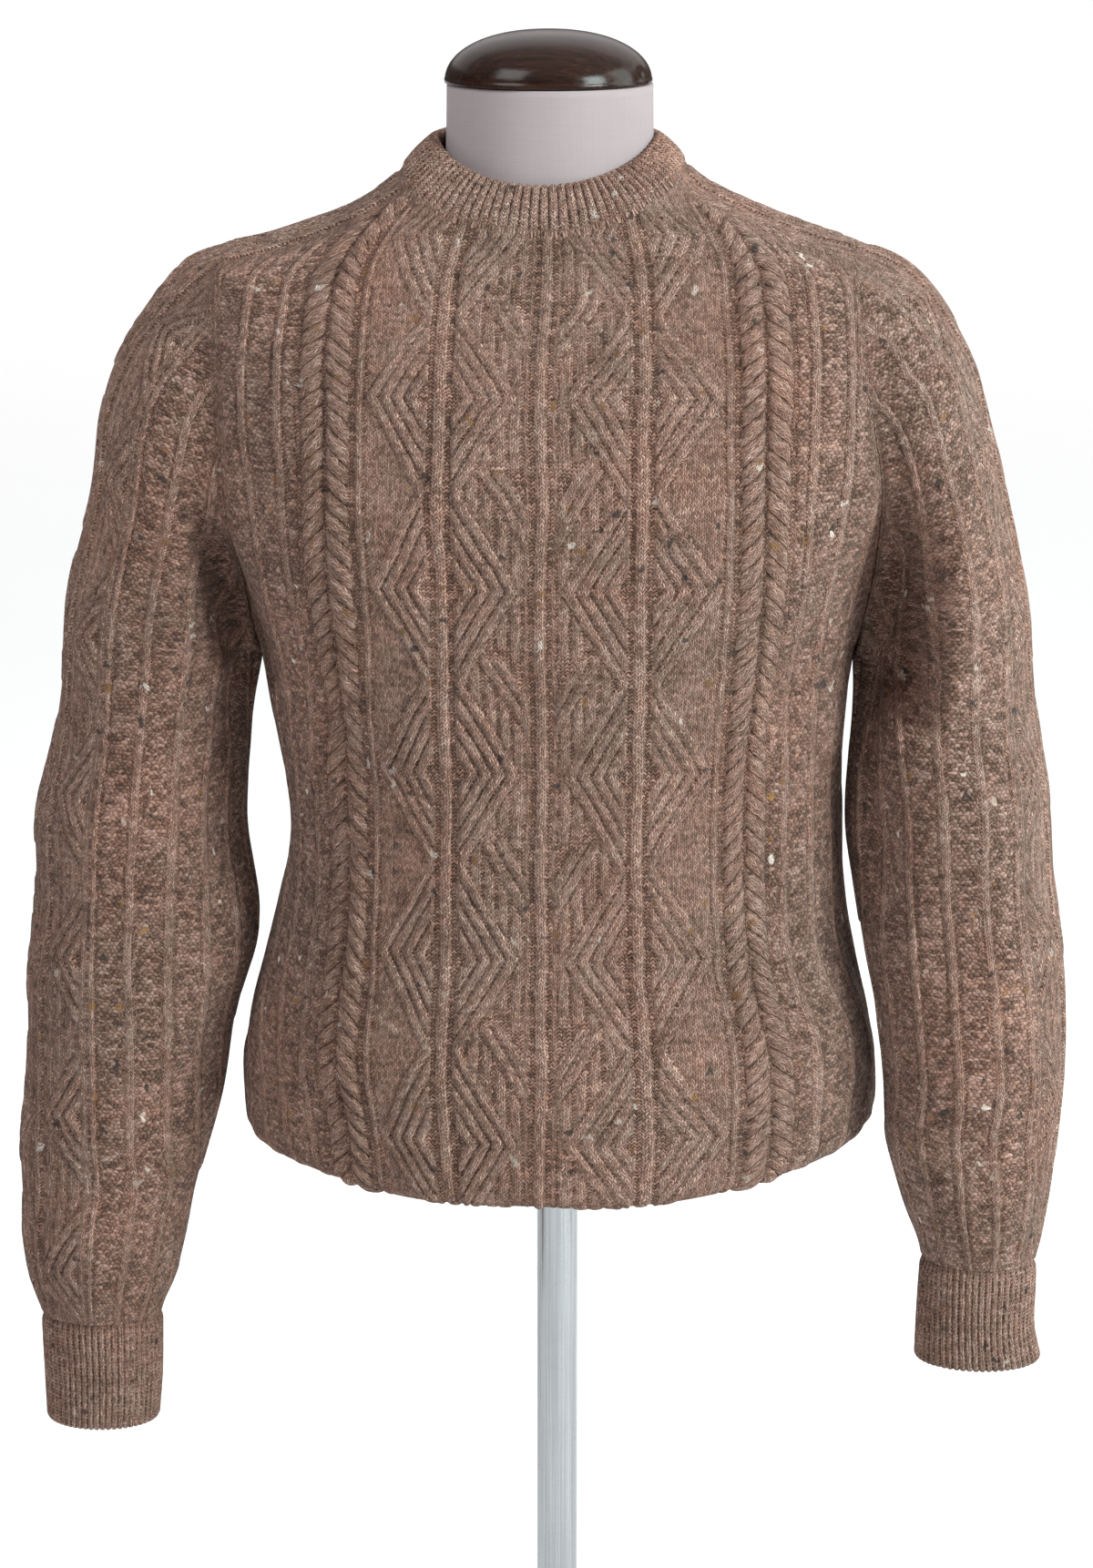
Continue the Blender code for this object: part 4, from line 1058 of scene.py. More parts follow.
def wool(name, tone=0.0):
    """Knitted marled wool: the stitches follow the lattice kept on the mesh."""
    T = Tree(name)
    A = T.attribute("st")
    u_own, own, x = T.split(A.outputs["Vector"])
    K = T.attribute("kd")
    purl, seed, rope = T.split(K.outputs["Color"])
    # how deep the point lies in the relief: painted shade in the grooves, painted light on the ridges
    groove_shade = K.outputs["Alpha"]
    w_true, r_true, travel = T.split(T.attribute("wr").outputs["Vector"])
    own = T.math("GREATER_THAN", own, 0.5)
    u0, v0 = T.mix(own, w_true, u_own), r_true
    here = T.place()
    # the hand of the knitter: stitches are not all in line
    wander = T.sub(T.noise(here, 210.0, 1.0), 0.5)
    wander2 = T.sub(T.noise(T.stretch(here, (1.0, 1.3, 0.8)), 250.0, 1.0), 0.5)
    # the strands of a rope: the columns run along each strand
    turn = T.sub(T.mul(v0, 1 / ROPE_ROWS), T.mul(T.math("ARCSINE", T.span(x, -ROPE_HALF - 0.35, ROPE_HALF + 0.35, -1.0, 1.0, False)), ROPE_RISE / pi))
    f = T.math("FRACT", turn)
    u_rope = T.mul(f, 3.0)
    is_rope = T.math("GREATER_THAN", rope, 0.5)
    v0 = T.mix(is_rope, v0, T.add(T.mul(v0, 0.62), T.mul(x, 0.55)))
    # the cleft where one rope strand dives under the next: it lowers the bump and is also painted shade in the colour
    cleft = T.mul(T.span(T.math("ABSOLUTE", T.sub(T.mul(f, 2.0), 1.0)), 0.72, 1.0), is_rope)
    u = T.add(T.mix(is_rope, u0, u_rope), T.mul(wander, 0.55))
    v = T.add(v0, T.mul(wander2, 0.9))
    # knit: a pair of leaning legs in each column and row
    fu = T.sub(T.math("FRACT", u), 0.5)
    au = T.math("ABSOLUTE", fu)
    # legs are steeper where the columns travel
    lean = T.sub(v, T.mul(au, T.add(1.85, T.mul(travel, 0.35), T.mul(is_rope, 0.7))))
    p = T.sub(T.mul(T.math("FRACT", lean), 2.0), 1.0)
    leg = T.math("POWER", T.sub(1.0, T.mul(p, p)), 0.7)
    across = T.sub(T.mul(au, 4.0), 1.0)
    round_ = T.math("MAXIMUM", T.sub(1.0, T.mul(across, across, 0.85)), 0.0)
    knit_h = T.mul(leg, T.math("POWER", round_, 0.6))
    # purl: wavy bars across
    # each bar is a short arch, set half a row from those beside it
    w_free = T.add(w_true, T.mul(wander, 1.3))
    wave = T.add(v, T.mul(wander, 0.8), T.mul(T.math("COSINE", T.mul(w_free, 2 * pi)), 0.26))
    pp = T.sub(T.mul(T.math("FRACT", wave), 2.0), 1.0)
    end = T.sub(T.mul(T.math("FRACT", w_free), 2.0), 1.0)
    purl_h = T.mul(T.sub(1.0, T.mul(pp, pp)), T.sub(0.85, T.mul(end, end, end, end, 0.45)))
    # seed: short arched bumps on every other stitch, turn about from row to row
    us, vs = T.add(w_true, T.mul(wander, 2.2)), T.add(r_true, T.mul(wander2, 1.9))
    row_ = T.math("FLOOR", T.add(vs, 0.5))
    du = T.sub(T.mul(T.math("FRACT", T.mul(T.add(T.mul(us, 1.5), row_), 0.5)), 2.0), 1.0)
    dv = T.add(T.sub(vs, row_), T.mul(du, du, 0.30), -0.08)
    seed_h = T.sub(1.0, T.add(T.mul(du, du, 1.5), T.mul(dv, dv, 4.2)))
    seed_h = T.add(T.mul(T.math("POWER", T.math("MAXIMUM", seed_h, 0.0), 0.7), 0.50), 0.34)
    is_seed = T.math("GREATER_THAN", seed, 0.5)
    h = T.mix(purl, knit_h, purl_h)
    h = T.mix(seed, h, seed_h)
    h = T.math("MULTIPLY", h, T.sub(1.0, T.mul(cleft, 0.55)))
    # fibres: fine streaks and fuzz
    side = T.math("SIGN", fu)
    along_leg = T.join(T.mul(T.add(u, T.mul(side, v, 0.35)), 5.0), T.mul(v, 1.6), 0.0)
    streak = T.noise(along_leg, 1.6, 2.0, 0.6)
    fuzz = T.noise(here, 1500.0, 2.0, 0.7)
    surface = T.add(T.mul(h, 1.0), T.mul(streak, 0.30), T.mul(fuzz, 0.22))
    T.bump(surface, 0.0017)
    # tone: each stitch, the run of the marled yarn, wide drifts
    zone = T.add(T.math("FLOOR", T.mul(w_true, 0.27)), T.mul(is_rope, T.add(T.math("FLOOR", turn), 57.0)))
    is_purl = T.math("GREATER_THAN", purl, 0.5)
    cell = T.join(T.mix(is_purl, T.add(T.math("FLOOR", u), T.mul(side, 0.25)), T.math("FLOOR", w_free)), T.mix(is_purl, T.math("FLOOR", lean), T.math("FLOOR", wave)), zone)
    cell = T.blend(is_seed, cell, T.join(T.math("FLOOR", T.mul(T.add(T.mul(us, 1.5), row_), 0.5)), row_, 7.0))
    rnd = T.white(cell)
    run = T.noise(T.join(T.mul(w_true, 0.22), T.mul(r_true, 0.9), 0.0), 1.0, 3.0, 0.65)
    drift = T.noise(here, 9.0, 3.0, 0.6)
    blotch = T.noise(here, 55.0, 3.0, 0.6)
    value = T.add(
        0.475,
        T.mul(T.sub(rnd[0], 0.5), 0.34),
        T.mul(T.sub(run, 0.5), 0.55),
        T.mul(T.sub(drift, 0.5), 0.12),
        T.mul(T.sub(blotch, 0.5), 0.40),
        T.mul(T.sub(streak, 0.5), 0.50),
        T.mul(T.sub(fuzz, 0.5), 0.20),
    )
    # painted shade and light in the colour: darker in the gaps between stitch legs, purl bars and seed bumps and
    # lighter on their tops, more so on ribs; darker down the grooves of the relief and lighter on its ridges; darker
    # in the clefts between rope strands
    value = T.add(value, T.mul(T.span(h, 0.0, 0.8, -0.27, 0.11), T.add(0.85, T.mul(own, 0.35))), T.span(groove_shade, 0.10, 0.66, 0.045, -0.085), T.mul(purl, -0.015), T.mul(seed, -0.085), T.mul(cleft, -0.13), tone)
    base = T.ramp(value, [(0.0, (0.024, 0.011, 0.006)), (0.22, (0.101, 0.048, 0.031)), (0.45, (0.256, 0.147, 0.107)), (0.66, (0.428, 0.286, 0.229)), (0.86, (0.625, 0.476, 0.408)), (1.0, (0.780, 0.655, 0.592))])
    hue = T.add(T.mul(T.sub(T.noise(here, 120.0, 2.0), 0.5), 1.2), T.mul(T.sub(rnd[0], 0.5), 0.5), T.mul(T.sub(drift, 0.5), 2.0), 0.5)
    shift = T.ramp(hue, [(0.0, WOOL_COOL), (0.5, WOOL), (1.0, WOOL_WARM)])
    color = T.blend(1.0, base, shift, "MULTIPLY")
    # the broken surface of seed stitch shows less of the warm depth
    color = T.blend(seed, color, T.blend(1.0, color, (0.925, 1.0, 1.065, 1), "MULTIPLY"))
    # flecks of other wool, each about a stitch long
    vor = T.node("ShaderNodeTexVoronoi", feature="F1")
    T.put(vor.inputs["Vector"], T.join(T.add(T.mul(w_true, 0.32), T.mul(wander, 1.1)), T.add(T.mul(r_true, 0.27), T.mul(wander2, 1.1)), 0.0))
    vor.inputs["Scale"].default_value = 1.0
    pick, kind, size = T.split(vor.outputs["Color"])
    here_it_is = T.math("GREATER_THAN", pick, 0.64)
    blob = T.span(T.add(vor.outputs["Distance"], T.mul(T.sub(streak, 0.5), 0.25)), T.mul(size, 0.19), T.add(T.mul(size, 0.24), 0.09), 1.0, 0.0)
    fleck = T.mul(here_it_is, blob, T.span(h, 0.05, 0.35))
    tint = T.ramp(kind, [(0.0, (0.018, 0.014, 0.013)), (0.34, (0.035, 0.026, 0.023)), (0.38, (0.27, 0.130, 0.040)), (0.74, (0.17, 0.075, 0.027)), (0.80, (0.60, 0.50, 0.43)), (1.0, (0.66, 0.58, 0.51))])
    color = T.blend(T.mul(fleck, 0.88), color, tint)
    T.put(T.bsdf.inputs["Base Color"], color)
    T.bsdf.inputs["Roughness"].default_value = 0.92
    T.bsdf.inputs["Specular IOR Level"].default_value = 0.12
    T.bsdf.inputs["Sheen Weight"].default_value = 0.14
    T.bsdf.inputs["Sheen Roughness"].default_value = 0.55
    T.bsdf.inputs["Sheen Tint"].default_value = (0.92, 0.78, 0.70, 1)
    return T.mat


WOOL = (0.875, 0.786, 0.758)
WOOL_COOL = (0.810, 0.795, 0.775)
WOOL_WARM = (0.942, 0.752, 0.684)


def linen():
    """Closely woven off-white linen, a little slubby."""
    T = Tree("linen_cover")
    here = T.place()
    x, y, z = T.split(here)
    around = T.math("ARCTAN2", y, x)
    slub = T.noise(T.stretch(here, (30.0, 30.0, 900.0)), 1.0, 2.0)
    slub2 = T.noise(T.stretch(here, (700.0, 700.0, 25.0)), 1.0, 2.0)
    weft = T.math("SINE", T.mul(z, 2 * pi / 0.00085))
    warp = T.math("SINE", T.mul(around, 460.0))
    weave = T.add(T.mul(weft, warp, 0.5), T.mul(weft, 0.25), T.mul(warp, 0.25))
    T.bump(T.add(T.mul(weave, 0.20), T.mul(slub, 0.6), T.mul(slub2, 0.5)), 0.00014)
    tone = T.add(0.90, T.mul(T.sub(slub, 0.5), 0.06), T.mul(T.sub(slub2, 0.5), 0.06), T.mul(weave, 0.018), T.mul(T.sub(T.noise(here, 28.0, 3.0), 0.5), 0.10))
    # painted light: the covering is lighter down the middle of the neck and darker towards its sides
    centre = T.span(T.math("ABSOLUTE", T.add(x, 0.004)), 0.012, 0.040, 1.03, 0.97)
    tone = T.mul(tone, centre)
    T.put(T.bsdf.inputs["Base Color"], T.blend(1.0, (0.312, 0.256, 0.258, 1), T.join(tone, tone, tone), "MULTIPLY"))
    T.bsdf.inputs["Roughness"].default_value = 0.85
    T.bsdf.inputs["Specular IOR Level"].default_value = 0.3
    T.bsdf.inputs["Sheen Weight"].default_value = 0.12
    return T.mat


def wood(name, along):
    """Dark stained wood under gloss varnish."""
    T = Tree(name)
    here = T.place()
    grain = T.noise(T.stretch(here, along), 1.0, 5.0, 0.62)
    pores = T.noise(T.stretch(here, tuple(4.0 * a for a in along)), 1.0, 2.0, 0.5)
    wear = T.noise(here, 90.0, 3.0, 0.6)
    f = T.add(T.mul(grain, 0.95), T.mul(T.sub(pores, 0.5), 0.35))
    color = T.ramp(f, [(0.25, (0.007, 0.003, 0.002)), (0.50, (0.019, 0.008, 0.005)), (0.66, (0.030, 0.012, 0.008)), (0.82, (0.044, 0.018, 0.011))])
    T.put(T.bsdf.inputs["Base Color"], color)
    T.put(T.bsdf.inputs["Roughness"], T.add(0.20, T.mul(T.sub(wear, 0.5), 0.16), T.mul(T.sub(pores, 0.5), 0.10)))
    T.bsdf.inputs["Specular IOR Level"].default_value = 0.11
    T.bsdf.inputs["Coat Weight"].default_value = 0.08
    T.bsdf.inputs["Coat Roughness"].default_value = 0.16
    T.bump(T.add(T.mul(pores, 0.6), T.mul(wear, 0.4)), 0.00012)
    return T.mat


def steel():
    """Brushed steel tube, drawn lengthwise with a few rubs."""
    T = Tree("brushed_steel")
    here = T.place()
    lines = T.noise(T.stretch(here, (900.0, 900.0, 7.0)), 1.0, 3.0, 0.6)
    rubs = T.noise(T.stretch(here, (30.0, 30.0, 60.0)), 1.0, 3.0, 0.6)
    T.put(T.bsdf.inputs["Base Color"], T.ramp(lines, [(0.3, (0.27, 0.27, 0.28)), (0.7, (0.40, 0.40, 0.41))]))
    T.bsdf.inputs["Metallic"].default_value = 1.0
    T.put(T.bsdf.inputs["Roughness"], T.add(0.26, T.mul(T.sub(lines, 0.5), 0.14), T.mul(T.sub(rubs, 0.5), 0.20)))
    T.bump(lines, 0.00006)
    return T.mat


def floor_material():
    T = Tree("pale_floor")
    here = T.place()
    n = T.noise(here, 3.0, 3.0)
    tone = T.add(0.93, T.mul(T.sub(n, 0.5), 0.01))
    T.put(T.bsdf.inputs["Base Color"], T.join(tone, tone, tone))
    T.bsdf.inputs["Roughness"].default_value = 0.9
    T.bsdf.inputs["Specular IOR Level"].default_value = 0.1
    return T.mat
# ------------------------------------------------------------------ building
LEVELS = Levels(BODY, 0.383, 0.960, 290)
BAND_LEVELS = Levels(BAND, 0.380, 0.460, 9)
WOOL_BODY, WOOL_RIB = wool("marled_wool"), wool("marled_wool_rib", -0.01)


def soft(p, seed, size, amount):
    """A slow unevenness, in metres, from a few waves in space."""
    rng = np.random.default_rng(seed)
    out = np.zeros(p.shape[:2])
    for _ in range(7):
        d = rng.normal(size=3)
        d /= np.linalg.norm(d)
        out += np.sin((p @ d) * 2 * pi / (size * rng.uniform(0.6, 1.5)) + rng.uniform(0, 2 * pi))
    return out * amount / np.sqrt(7 / 2)


def creases(p, table):
    """Listed soft troughs (below 0) and ridges of the body panels."""
    out = np.zeros(p.shape[:2])
    for c in table:
        dx, dz = p[..., 0] - c.x, p[..., 2] - c.z
        a = radians(c.turn)
        along_ = dx * np.sin(a) + dz * np.cos(a)
        across = dx * np.cos(a) - dz * np.sin(a)
        across = across - c.bend * along_**2
        out += c.depth * np.exp(-((along_ / c.length) ** 2) - (across / c.width) ** 2)
    return out


# turn is clockwise from upright, seen from outside; depth is below 0 for a trough
Crease = namedtuple("Crease", "x z turn length width depth bend")
FRONT_CREASES = [
    Crease(-0.128, 0.668, -24, 0.050, 0.010, -0.0030, 2.0),
    Crease(-0.140, 0.640, -30, 0.040, 0.009, 0.0018, 1.0),
    Crease(0.152, 0.708, 14, 0.070, 0.015, -0.0045, -1.5),
    Crease(0.134, 0.664, 24, 0.045, 0.010, -0.0025, -1.0),
    Crease(0.140, 0.520, -38, 0.040, 0.014, -0.0020, 0.0),
    Crease(-0.136, 0.500, 34, 0.045, 0.015, -0.0022, 0.0),
    Crease(-0.060, 0.470, 70, 0.060, 0.012, -0.0012, 0.0),
    Crease(0.070, 0.462, -68, 0.060, 0.012, -0.0014, 0.0),
]
BACK_CREASES = [
    Crease(-0.132, 0.672, 26, 0.050, 0.010, -0.0035, -2.0),
    Crease(0.138, 0.690, -22, 0.055, 0.011, -0.0040, 2.0),
    Crease(0.128, 0.500, 36, 0.045, 0.014, -0.0025, 0.0),
    Crease(-0.130, 0.510, -32, 0.045, 0.015, -0.0020, 0.0),
    Crease(0.020, 0.475, 80, 0.070, 0.012, -0.0015, 0.0),
]


def body_panel(name, face, rows, table, seed):
    p, w, r, edge = panel(face, rows, ROLL_ROWS)
    n = -face * normals(p)
    n = unit(n + 0.0)
    k = body_knit(w, r, face < 0)
    seam_groove(k, edge)
    rolled = np.clip(np.arange(len(p)) / ROLL_ROWS, 0, 1)[:, None]
    lift = k.h * 0.001 * (0.35 + 0.65 * rolled)
    calm = step(edge / 0.02)
    lift = lift + (creases(p, table) + soft(p, seed, 0.11, 0.0011)) * calm * rolled
    q = p + n * lift[..., None]
    declared = p
    q = tucked_knit(q, n, k)
    ob = grid_mesh("knit_" + name, q, k, WOOL_BODY, face > 0)
    declare(ob, declared, [name])
    return ob


ROLL_ROWS = 18
body_panel("front", -1, 256, FRONT_CREASES, 11)
body_panel("back", 1, 196, BACK_CREASES, 12)


def wrapped_normals(p, open_rows):
    n = normals(p)
    around = np.concatenate([p[:, -2:-1], p[:, :2]], 1)
    du = around[:, 2] - around[:, 0]
    dv = np.gradient(p[:, 0], axis=0)
    seam = unit(np.cross(du, dv))
    n[open_rows:, 0] = seam[open_rows:]
    n[open_rows:, -1] = seam[open_rows:]
    return n


def sleeve_piece(name, side, seed):
    p, dist, down, edge, open_rows = sleeve(side, 262, 46, 116, 186, FOLDS + MORE_FOLDS[side])
    n = -side * wrapped_normals(p, open_rows)
    k = sleeve_knit(dist, down, side, 0)
    seam_groove(k, edge)
    end = down[-1, 0] - down
    k.h = k.h * (0.45 + 0.55 * step(end / 0.012)) + 0.2 * (1 - step(end / 0.010))
    lift = k.h * 0.001 + soft(p, seed, 0.12, 0.0012) * step(edge / 0.02) * step(end / 0.03)
    q = p + n * lift[..., None]
    q[open_rows:, -1] = q[open_rows:, 0]
    base = p
    # the rows above the underarm are turned in along both seams; a column is
    # added for that, and it lies on the seam below the underarm
    first = q[:, :1] - n[:, :1] * 0.0035
    last = q[:, -1:] - n[:, -1:] * 0.0035
    first[open_rows:] = q[open_rows:, :1] - n[open_rows:, :1] * 0.0010
    last[open_rows:] = q[open_rows:, -1:] - n[open_rows:, -1:] * 0.0010
    q = np.concatenate([first, q, last], 1)
    for key in PARTS:
        a = getattr(k, key)
        setattr(k, key, np.concatenate([a[:, :1], a, a[:, -1:]], 1))
    ob = grid_mesh("knit_" + name, q, k, WOOL_BODY, side > 0)
    declare(ob, base, [name])
    return ob


MORE_FOLDS = {
    -1: [
        Fold(0.655, -0.35, 0.0028, 0.060, 0.10, -1.4),
        Fold(0.610, -0.72, 0.0030, 0.035, 0.12, 3.0),
        Fold(0.690, -0.90, 0.0100, 0.085, 0.105, -0.5),
        Fold(0.545, -0.52, 0.0022, 0.040, 0.12, 2.0),
        Fold(0.372, -0.45, 0.0030, 0.022, 0.25, 1.0),
        Fold(0.352, 0.35, 0.0030, 0.020, 0.30, -1.0),
        Fold(0.395, -0.80, 0.0028, 0.025, 0.22, 0.0),
    ],
    1: [
        Fold(0.665, -0.42, 0.0030, 0.055, 0.10, -1.6),
        Fold(0.600, -0.70, 0.0034, 0.040, 0.12, 2.5),
        Fold(0.695, -0.88, 0.0140, 0.095, 0.120, -0.6),
        Fold(0.520, -0.55, 0.0022, 0.045, 0.12, 1.0),
        Fold(0.408, -0.45, 0.0032, 0.022, 0.25, 1.0),
        Fold(0.392, 0.30, 0.0030, 0.020, 0.30, -1.0),
        Fold(0.430, -0.80, 0.0030, 0.026, 0.22, 0.0),
    ],
}
sleeve_piece("sleeve_right", -1, 21)
sleeve_piece("sleeve_left", 1, 22)


def cuff_piece(name, side, ribs):
    table = CUFF_RIGHT if side < 0 else CUFF_LEFT
    _, _, tube_row = sleeve_lines(side)
    around = np.linspace(-1, 1, 601)
    height = table[0].z - table[-1].z
    n_down, n_round, n_inner, cols = 34, 7, 6, ribs * 7
    z = np.linspace(table[0].z, table[-1].z, n_down + 1)
    rows, dist = spread(sleeve_rows(*tube_row(z, table), around), around, cols)
    n = -side * wrapped_normals(rows, 0)
    place = (dist - dist[:, :1]) / (dist[:, -1:] - dist[:, :1])
    down = table[0].z - z
    wall = 0.0042
    # down the outside, round the lower edge and a little way up the inside
    out, lift, v = [], [], []
    for j in range(n_down + 1):
        out.append(rows[j])
        lift.append((n[j], 1.0))
        v.append(down[j])
    edge_, edge_n = rows[-1], n[-1].copy()
    edge_n[:, 2] = 0
    edge_n = unit(edge_n)
    for t in np.linspace(0, pi, n_round + 2)[1:]:
        out.append(edge_ - edge_n * (1 - np.cos(t)) * wall / 2 - np.array([0, 0, 1]) * np.sin(t) * wall / 2)
        lift.append((edge_n * np.cos(t) - np.array([0, 0, 1]) * np.sin(t), 0.75))
        v.append(height + t * wall / 2)
    for j in range(1, n_inner + 1):
        out.append(edge_ - edge_n * wall + np.array([0, 0, 1]) * 0.012 * j / n_inner)
        lift.append((-edge_n, 0.6))
        v.append(height + pi * wall / 2 + 0.012 * j / n_inner)
    out = np.array(out)
    v = np.array(v)[:, None] + 0 * out[..., 0]
    place = np.concatenate([place, np.repeat(place[-1:], len(out) - len(place), 0)])
    k = rib_knit(ribs, (place, -v / ROW_HEIGHT), relief=0.68)
    top = step(v / 0.006)
    k.h = k.h * (0.45 + 0.55 * top) - 1.0 * (1 - top)
    q = out + np.stack([a * b for a, b in lift]) * (k.h * 0.001)[..., None]
    q = q + 0.0
    q[:, -1] = q[:, 0]
    base = out
    ob = grid_mesh("rib_" + name, q, k, WOOL_RIB, side > 0)
    declare(ob, base, [name])


cuff_piece("cuff_right", -1, 54)
cuff_piece("cuff_left", 1, 52)


def collar_piece():
    """The neck rib: up the outside, over the folded edge and down inside."""
    cols = 96 * 7
    base = collar_base(cols)
    top = collar_top(base)
    n_up, n_round, n_in = 26, 10, 10
    wall = 0.0052
    axis = np.array([COLLAR_TOP.x, 0.0, 0.0])
    rise = np.linspace(0, 1, n_up + 1)
    face_ = np.array([base + (top - base) * f + unit((base - axis) * [1, 1, 0]) * 0.0014 * np.sin(pi * f) for f in rise])
    closed = np.concatenate([face_, face_[:, :1]], 1)
    n = normals(face_, closed=True)
    n = unit(n)
    if (n[n_up // 2] * (face_[n_up // 2] - axis)).sum(-1).mean() < 0:
        n = -n
    up = unit(top - base)
    inward = -unit(n[-1] - up * (n[-1] * up).sum(-1, keepdims=True))
    out, push, v = list(face_), list(n), [f * np.linalg.norm(top - base, axis=1) for f in rise]
    full = v[-1]
    for t in np.linspace(0, pi, n_round + 2)[1:]:
        out.append(top + inward * (1 - np.cos(t)) * wall / 2 + up * np.sin(t) * wall * 0.55)
        push.append(unit(-inward * np.cos(t) + up * np.sin(t)))
        v.append(full + t * wall / 2)
    for j in range(1, n_in + 1):
        out.append(top + inward * wall - up * 0.020 * j / n_in)
        push.append(inward)
        v.append(full + pi * wall / 2 + 0.020 * j / n_in)
    out, push, v = np.array(out), np.array(push), np.array(v)
    place = np.broadcast_to(np.arange(cols) / cols, out.shape[:2])
    k = rib_knit(96, (place, v / ROW_HEIGHT))
    low = step(v / 0.005)
    k.h = (k.h * 0.9) * (0.35 + 0.65 * low) - 0.5 * (1 - low)
    q = out + push * (k.h * 0.001)[..., None]
    # the seam edge is tucked under the panels
    under = q[:1] - push[:1] * 0.002 - up[None] * 0.004
    q = np.concatenate([under, q])
    for key in PARTS:
        a = getattr(k, key)
        a = np.concatenate([a[:1], a])
        setattr(k, key, np.concatenate([a, a[:, :1]], 1))
    q = np.concatenate([q, q[:, :1]], 1)
    out = np.concatenate([out, out[:, :1]], 1)
    ob = grid_mesh("rib_collar", q, k, WOOL_RIB, True)
    declare(ob, out, ["collar"])


collar_piece()


def hem_band_piece():
    """The rib band turned up inside the hem."""
    cols, rows = 96 * 6, 20
    z = np.linspace(HEM_Z - 0.0005, BAND_TOP, rows + 1)
    ring = []
    for side, face, turn in ((1, -1, 1), (1, 1, -1), (-1, 1, 1), (-1, -1, -1)):
        f = np.linspace(0, 1, cols // 4 + 1)[::turn][:-1]
        ring.append(BAND_LEVELS.point(side, face, z[:, None], f[None, :] * BAND_LEVELS.length(side, face, z)[:, None]))
    p = np.concatenate(ring, 1)
    n = normals(p, closed=True)
    if (n * p * [1, 1, 0]).sum() < 0:
        n = -n
    place = np.broadcast_to(np.arange(p.shape[1]) / p.shape[1], p.shape[:2])
    k = rib_knit(96, (place, np.broadcast_to(((z - z[0]) / ROW_HEIGHT)[:, None], p.shape[:2])))
    q = p + n * (k.h * 0.0008)[..., None]
    for key in PARTS:
        a = getattr(k, key)
        setattr(k, key, np.concatenate([a, a[:, :1]], 1))
    q, p = (np.concatenate([a, a[:, :1]], 1) for a in (q, p))
    ob = grid_mesh("rib_hem_band", q, k, WOOL_RIB, False)
    declare(ob, p, ["hem_band"])


hem_band_piece()


# --------------------------------------------------------- form and stand
def lathe(name, profile, at, mat, nodes, segments=160, shape=None):
    """A profile (r, z) turned about Z, closed where r is 0."""
    r, z = np.array(profile).T
    a = np.linspace(0, 2 * pi, segments + 1)
    p = np.stack([r[:, None] * np.cos(a), r[:, None] * np.sin(a), z[:, None] + 0 * a], -1) + np.array(at)
    if shape is not None:
        p = shape(p)
    ob = grid_mesh(name, p, None, mat, False)
    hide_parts(*nodes)
    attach(ob, "root")
    return ob


def rounded(points, radius, n=6):
    """A profile with each inner corner rounded."""
    out = [np.array(points[0], float)]
    for a, b, c in zip(points[:-2], points[1:-1], points[2:]):
        a, b, c = (np.array(q, float) for q in (a, b, c))
        ra = min(radius, np.linalg.norm(a - b) * 0.45, np.linalg.norm(c - b) * 0.45)
        p0, p1 = b + (a - b) / max(np.linalg.norm(a - b), 1e-9) * ra, b + (c - b) / max(np.linalg.norm(c - b), 1e-9) * ra
        for t in np.linspace(0, 1, n):
            out.append((1 - t) ** 2 * p0 + 2 * t * (1 - t) * b + t * t * p1)
    out.append(np.array(points[-1], float))
    return out


def form_piece():
    z = np.concatenate([np.linspace(0.4022, 0.960, 120), np.linspace(0.962, 1.0040, 12)])
    levels = Levels(FORM, 0.402, 1.0040, 240)
    ring = []
    for side, face, turn in ((1, -1, 1), (1, 1, -1), (-1, 1, 1), (-1, -1, -1)):
        f = np.linspace(0, 1, 49)[::turn][:-1]
        ring.append(levels.point(side, face, z[:, None], f[None, :] * levels.length(side, face, z)[:, None]))
    p = np.concatenate(ring, 1)
    p = np.concatenate([p, p[:, :1]], 1)
    centre = p.mean(1, keepdims=True) * [1, 1, 0]
    bottom = [centre[:1] + (p[:1] - centre[:1]) * s for s in (0.0, 0.5, 0.9, 0.985)]
    for b in bottom:
        b[..., 2] = 0.402
    top = [centre[-1:] + (p[-1:] - centre[-1:]) * s for s in (0.9, 0.0)]
    for t in top:
        t[..., 2] = 1.0040
    p = np.concatenate(bottom + [p] + top)
    ob = grid_mesh("linen_form", p, None, linen(), False)
    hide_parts("form_torso")
    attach(ob, "root")


form_piece()

k_ = np.linspace(0, 1, 40)
DOME = [(CAP_RADIUS * np.sin(t * pi / 2) ** (2 / 2.2), CAP_HEIGHT * np.cos(t * pi / 2) ** (2 / 2.2)) for t in k_]
DOME[0] = (0.0, CAP_HEIGHT)
DOME = [p_ for p_ in DOME[:-1] if p_[1] > 0.0030]
cap_profile = DOME + rounded([(CAP_RADIUS, 0.0028), (CAP_RADIUS, 0.0004), (CAP_RADIUS - 0.0016, 0.0), (0.0, 0.0)], 0.0012, 5)


def dented(p):
    """A small knock in the cap's rim at its left side."""
    c = np.array([CAP_X + CAP_RADIUS * 0.93, -CAP_RADIUS * 0.36, CAP_Z + 0.006])
    d = np.linalg.norm(p - c, axis=-1)
    axis = unit((p - np.array([CAP_X, 0, 0])) * [1, 1, 0])
    return p - axis * (0.0022 * np.exp(-((d / 0.0045) ** 2)))[..., None]


WOOD_CAP = wood("varnished_wood", (22.0, 260.0, 260.0))
lathe("wooden_cap", cap_profile[::-1], (CAP_X, 0, CAP_Z), WOOD_CAP, ["form_cap"], 160, dented)
low, high = BASE_HEIGHT + 0.0003, FORM[0].z - 0.0003
pole = [(0.0, low)] + [(POLE_RADIUS, low + (high - low) * f) for f in np.linspace(0, 1, 30)] + [(0.0, high)]
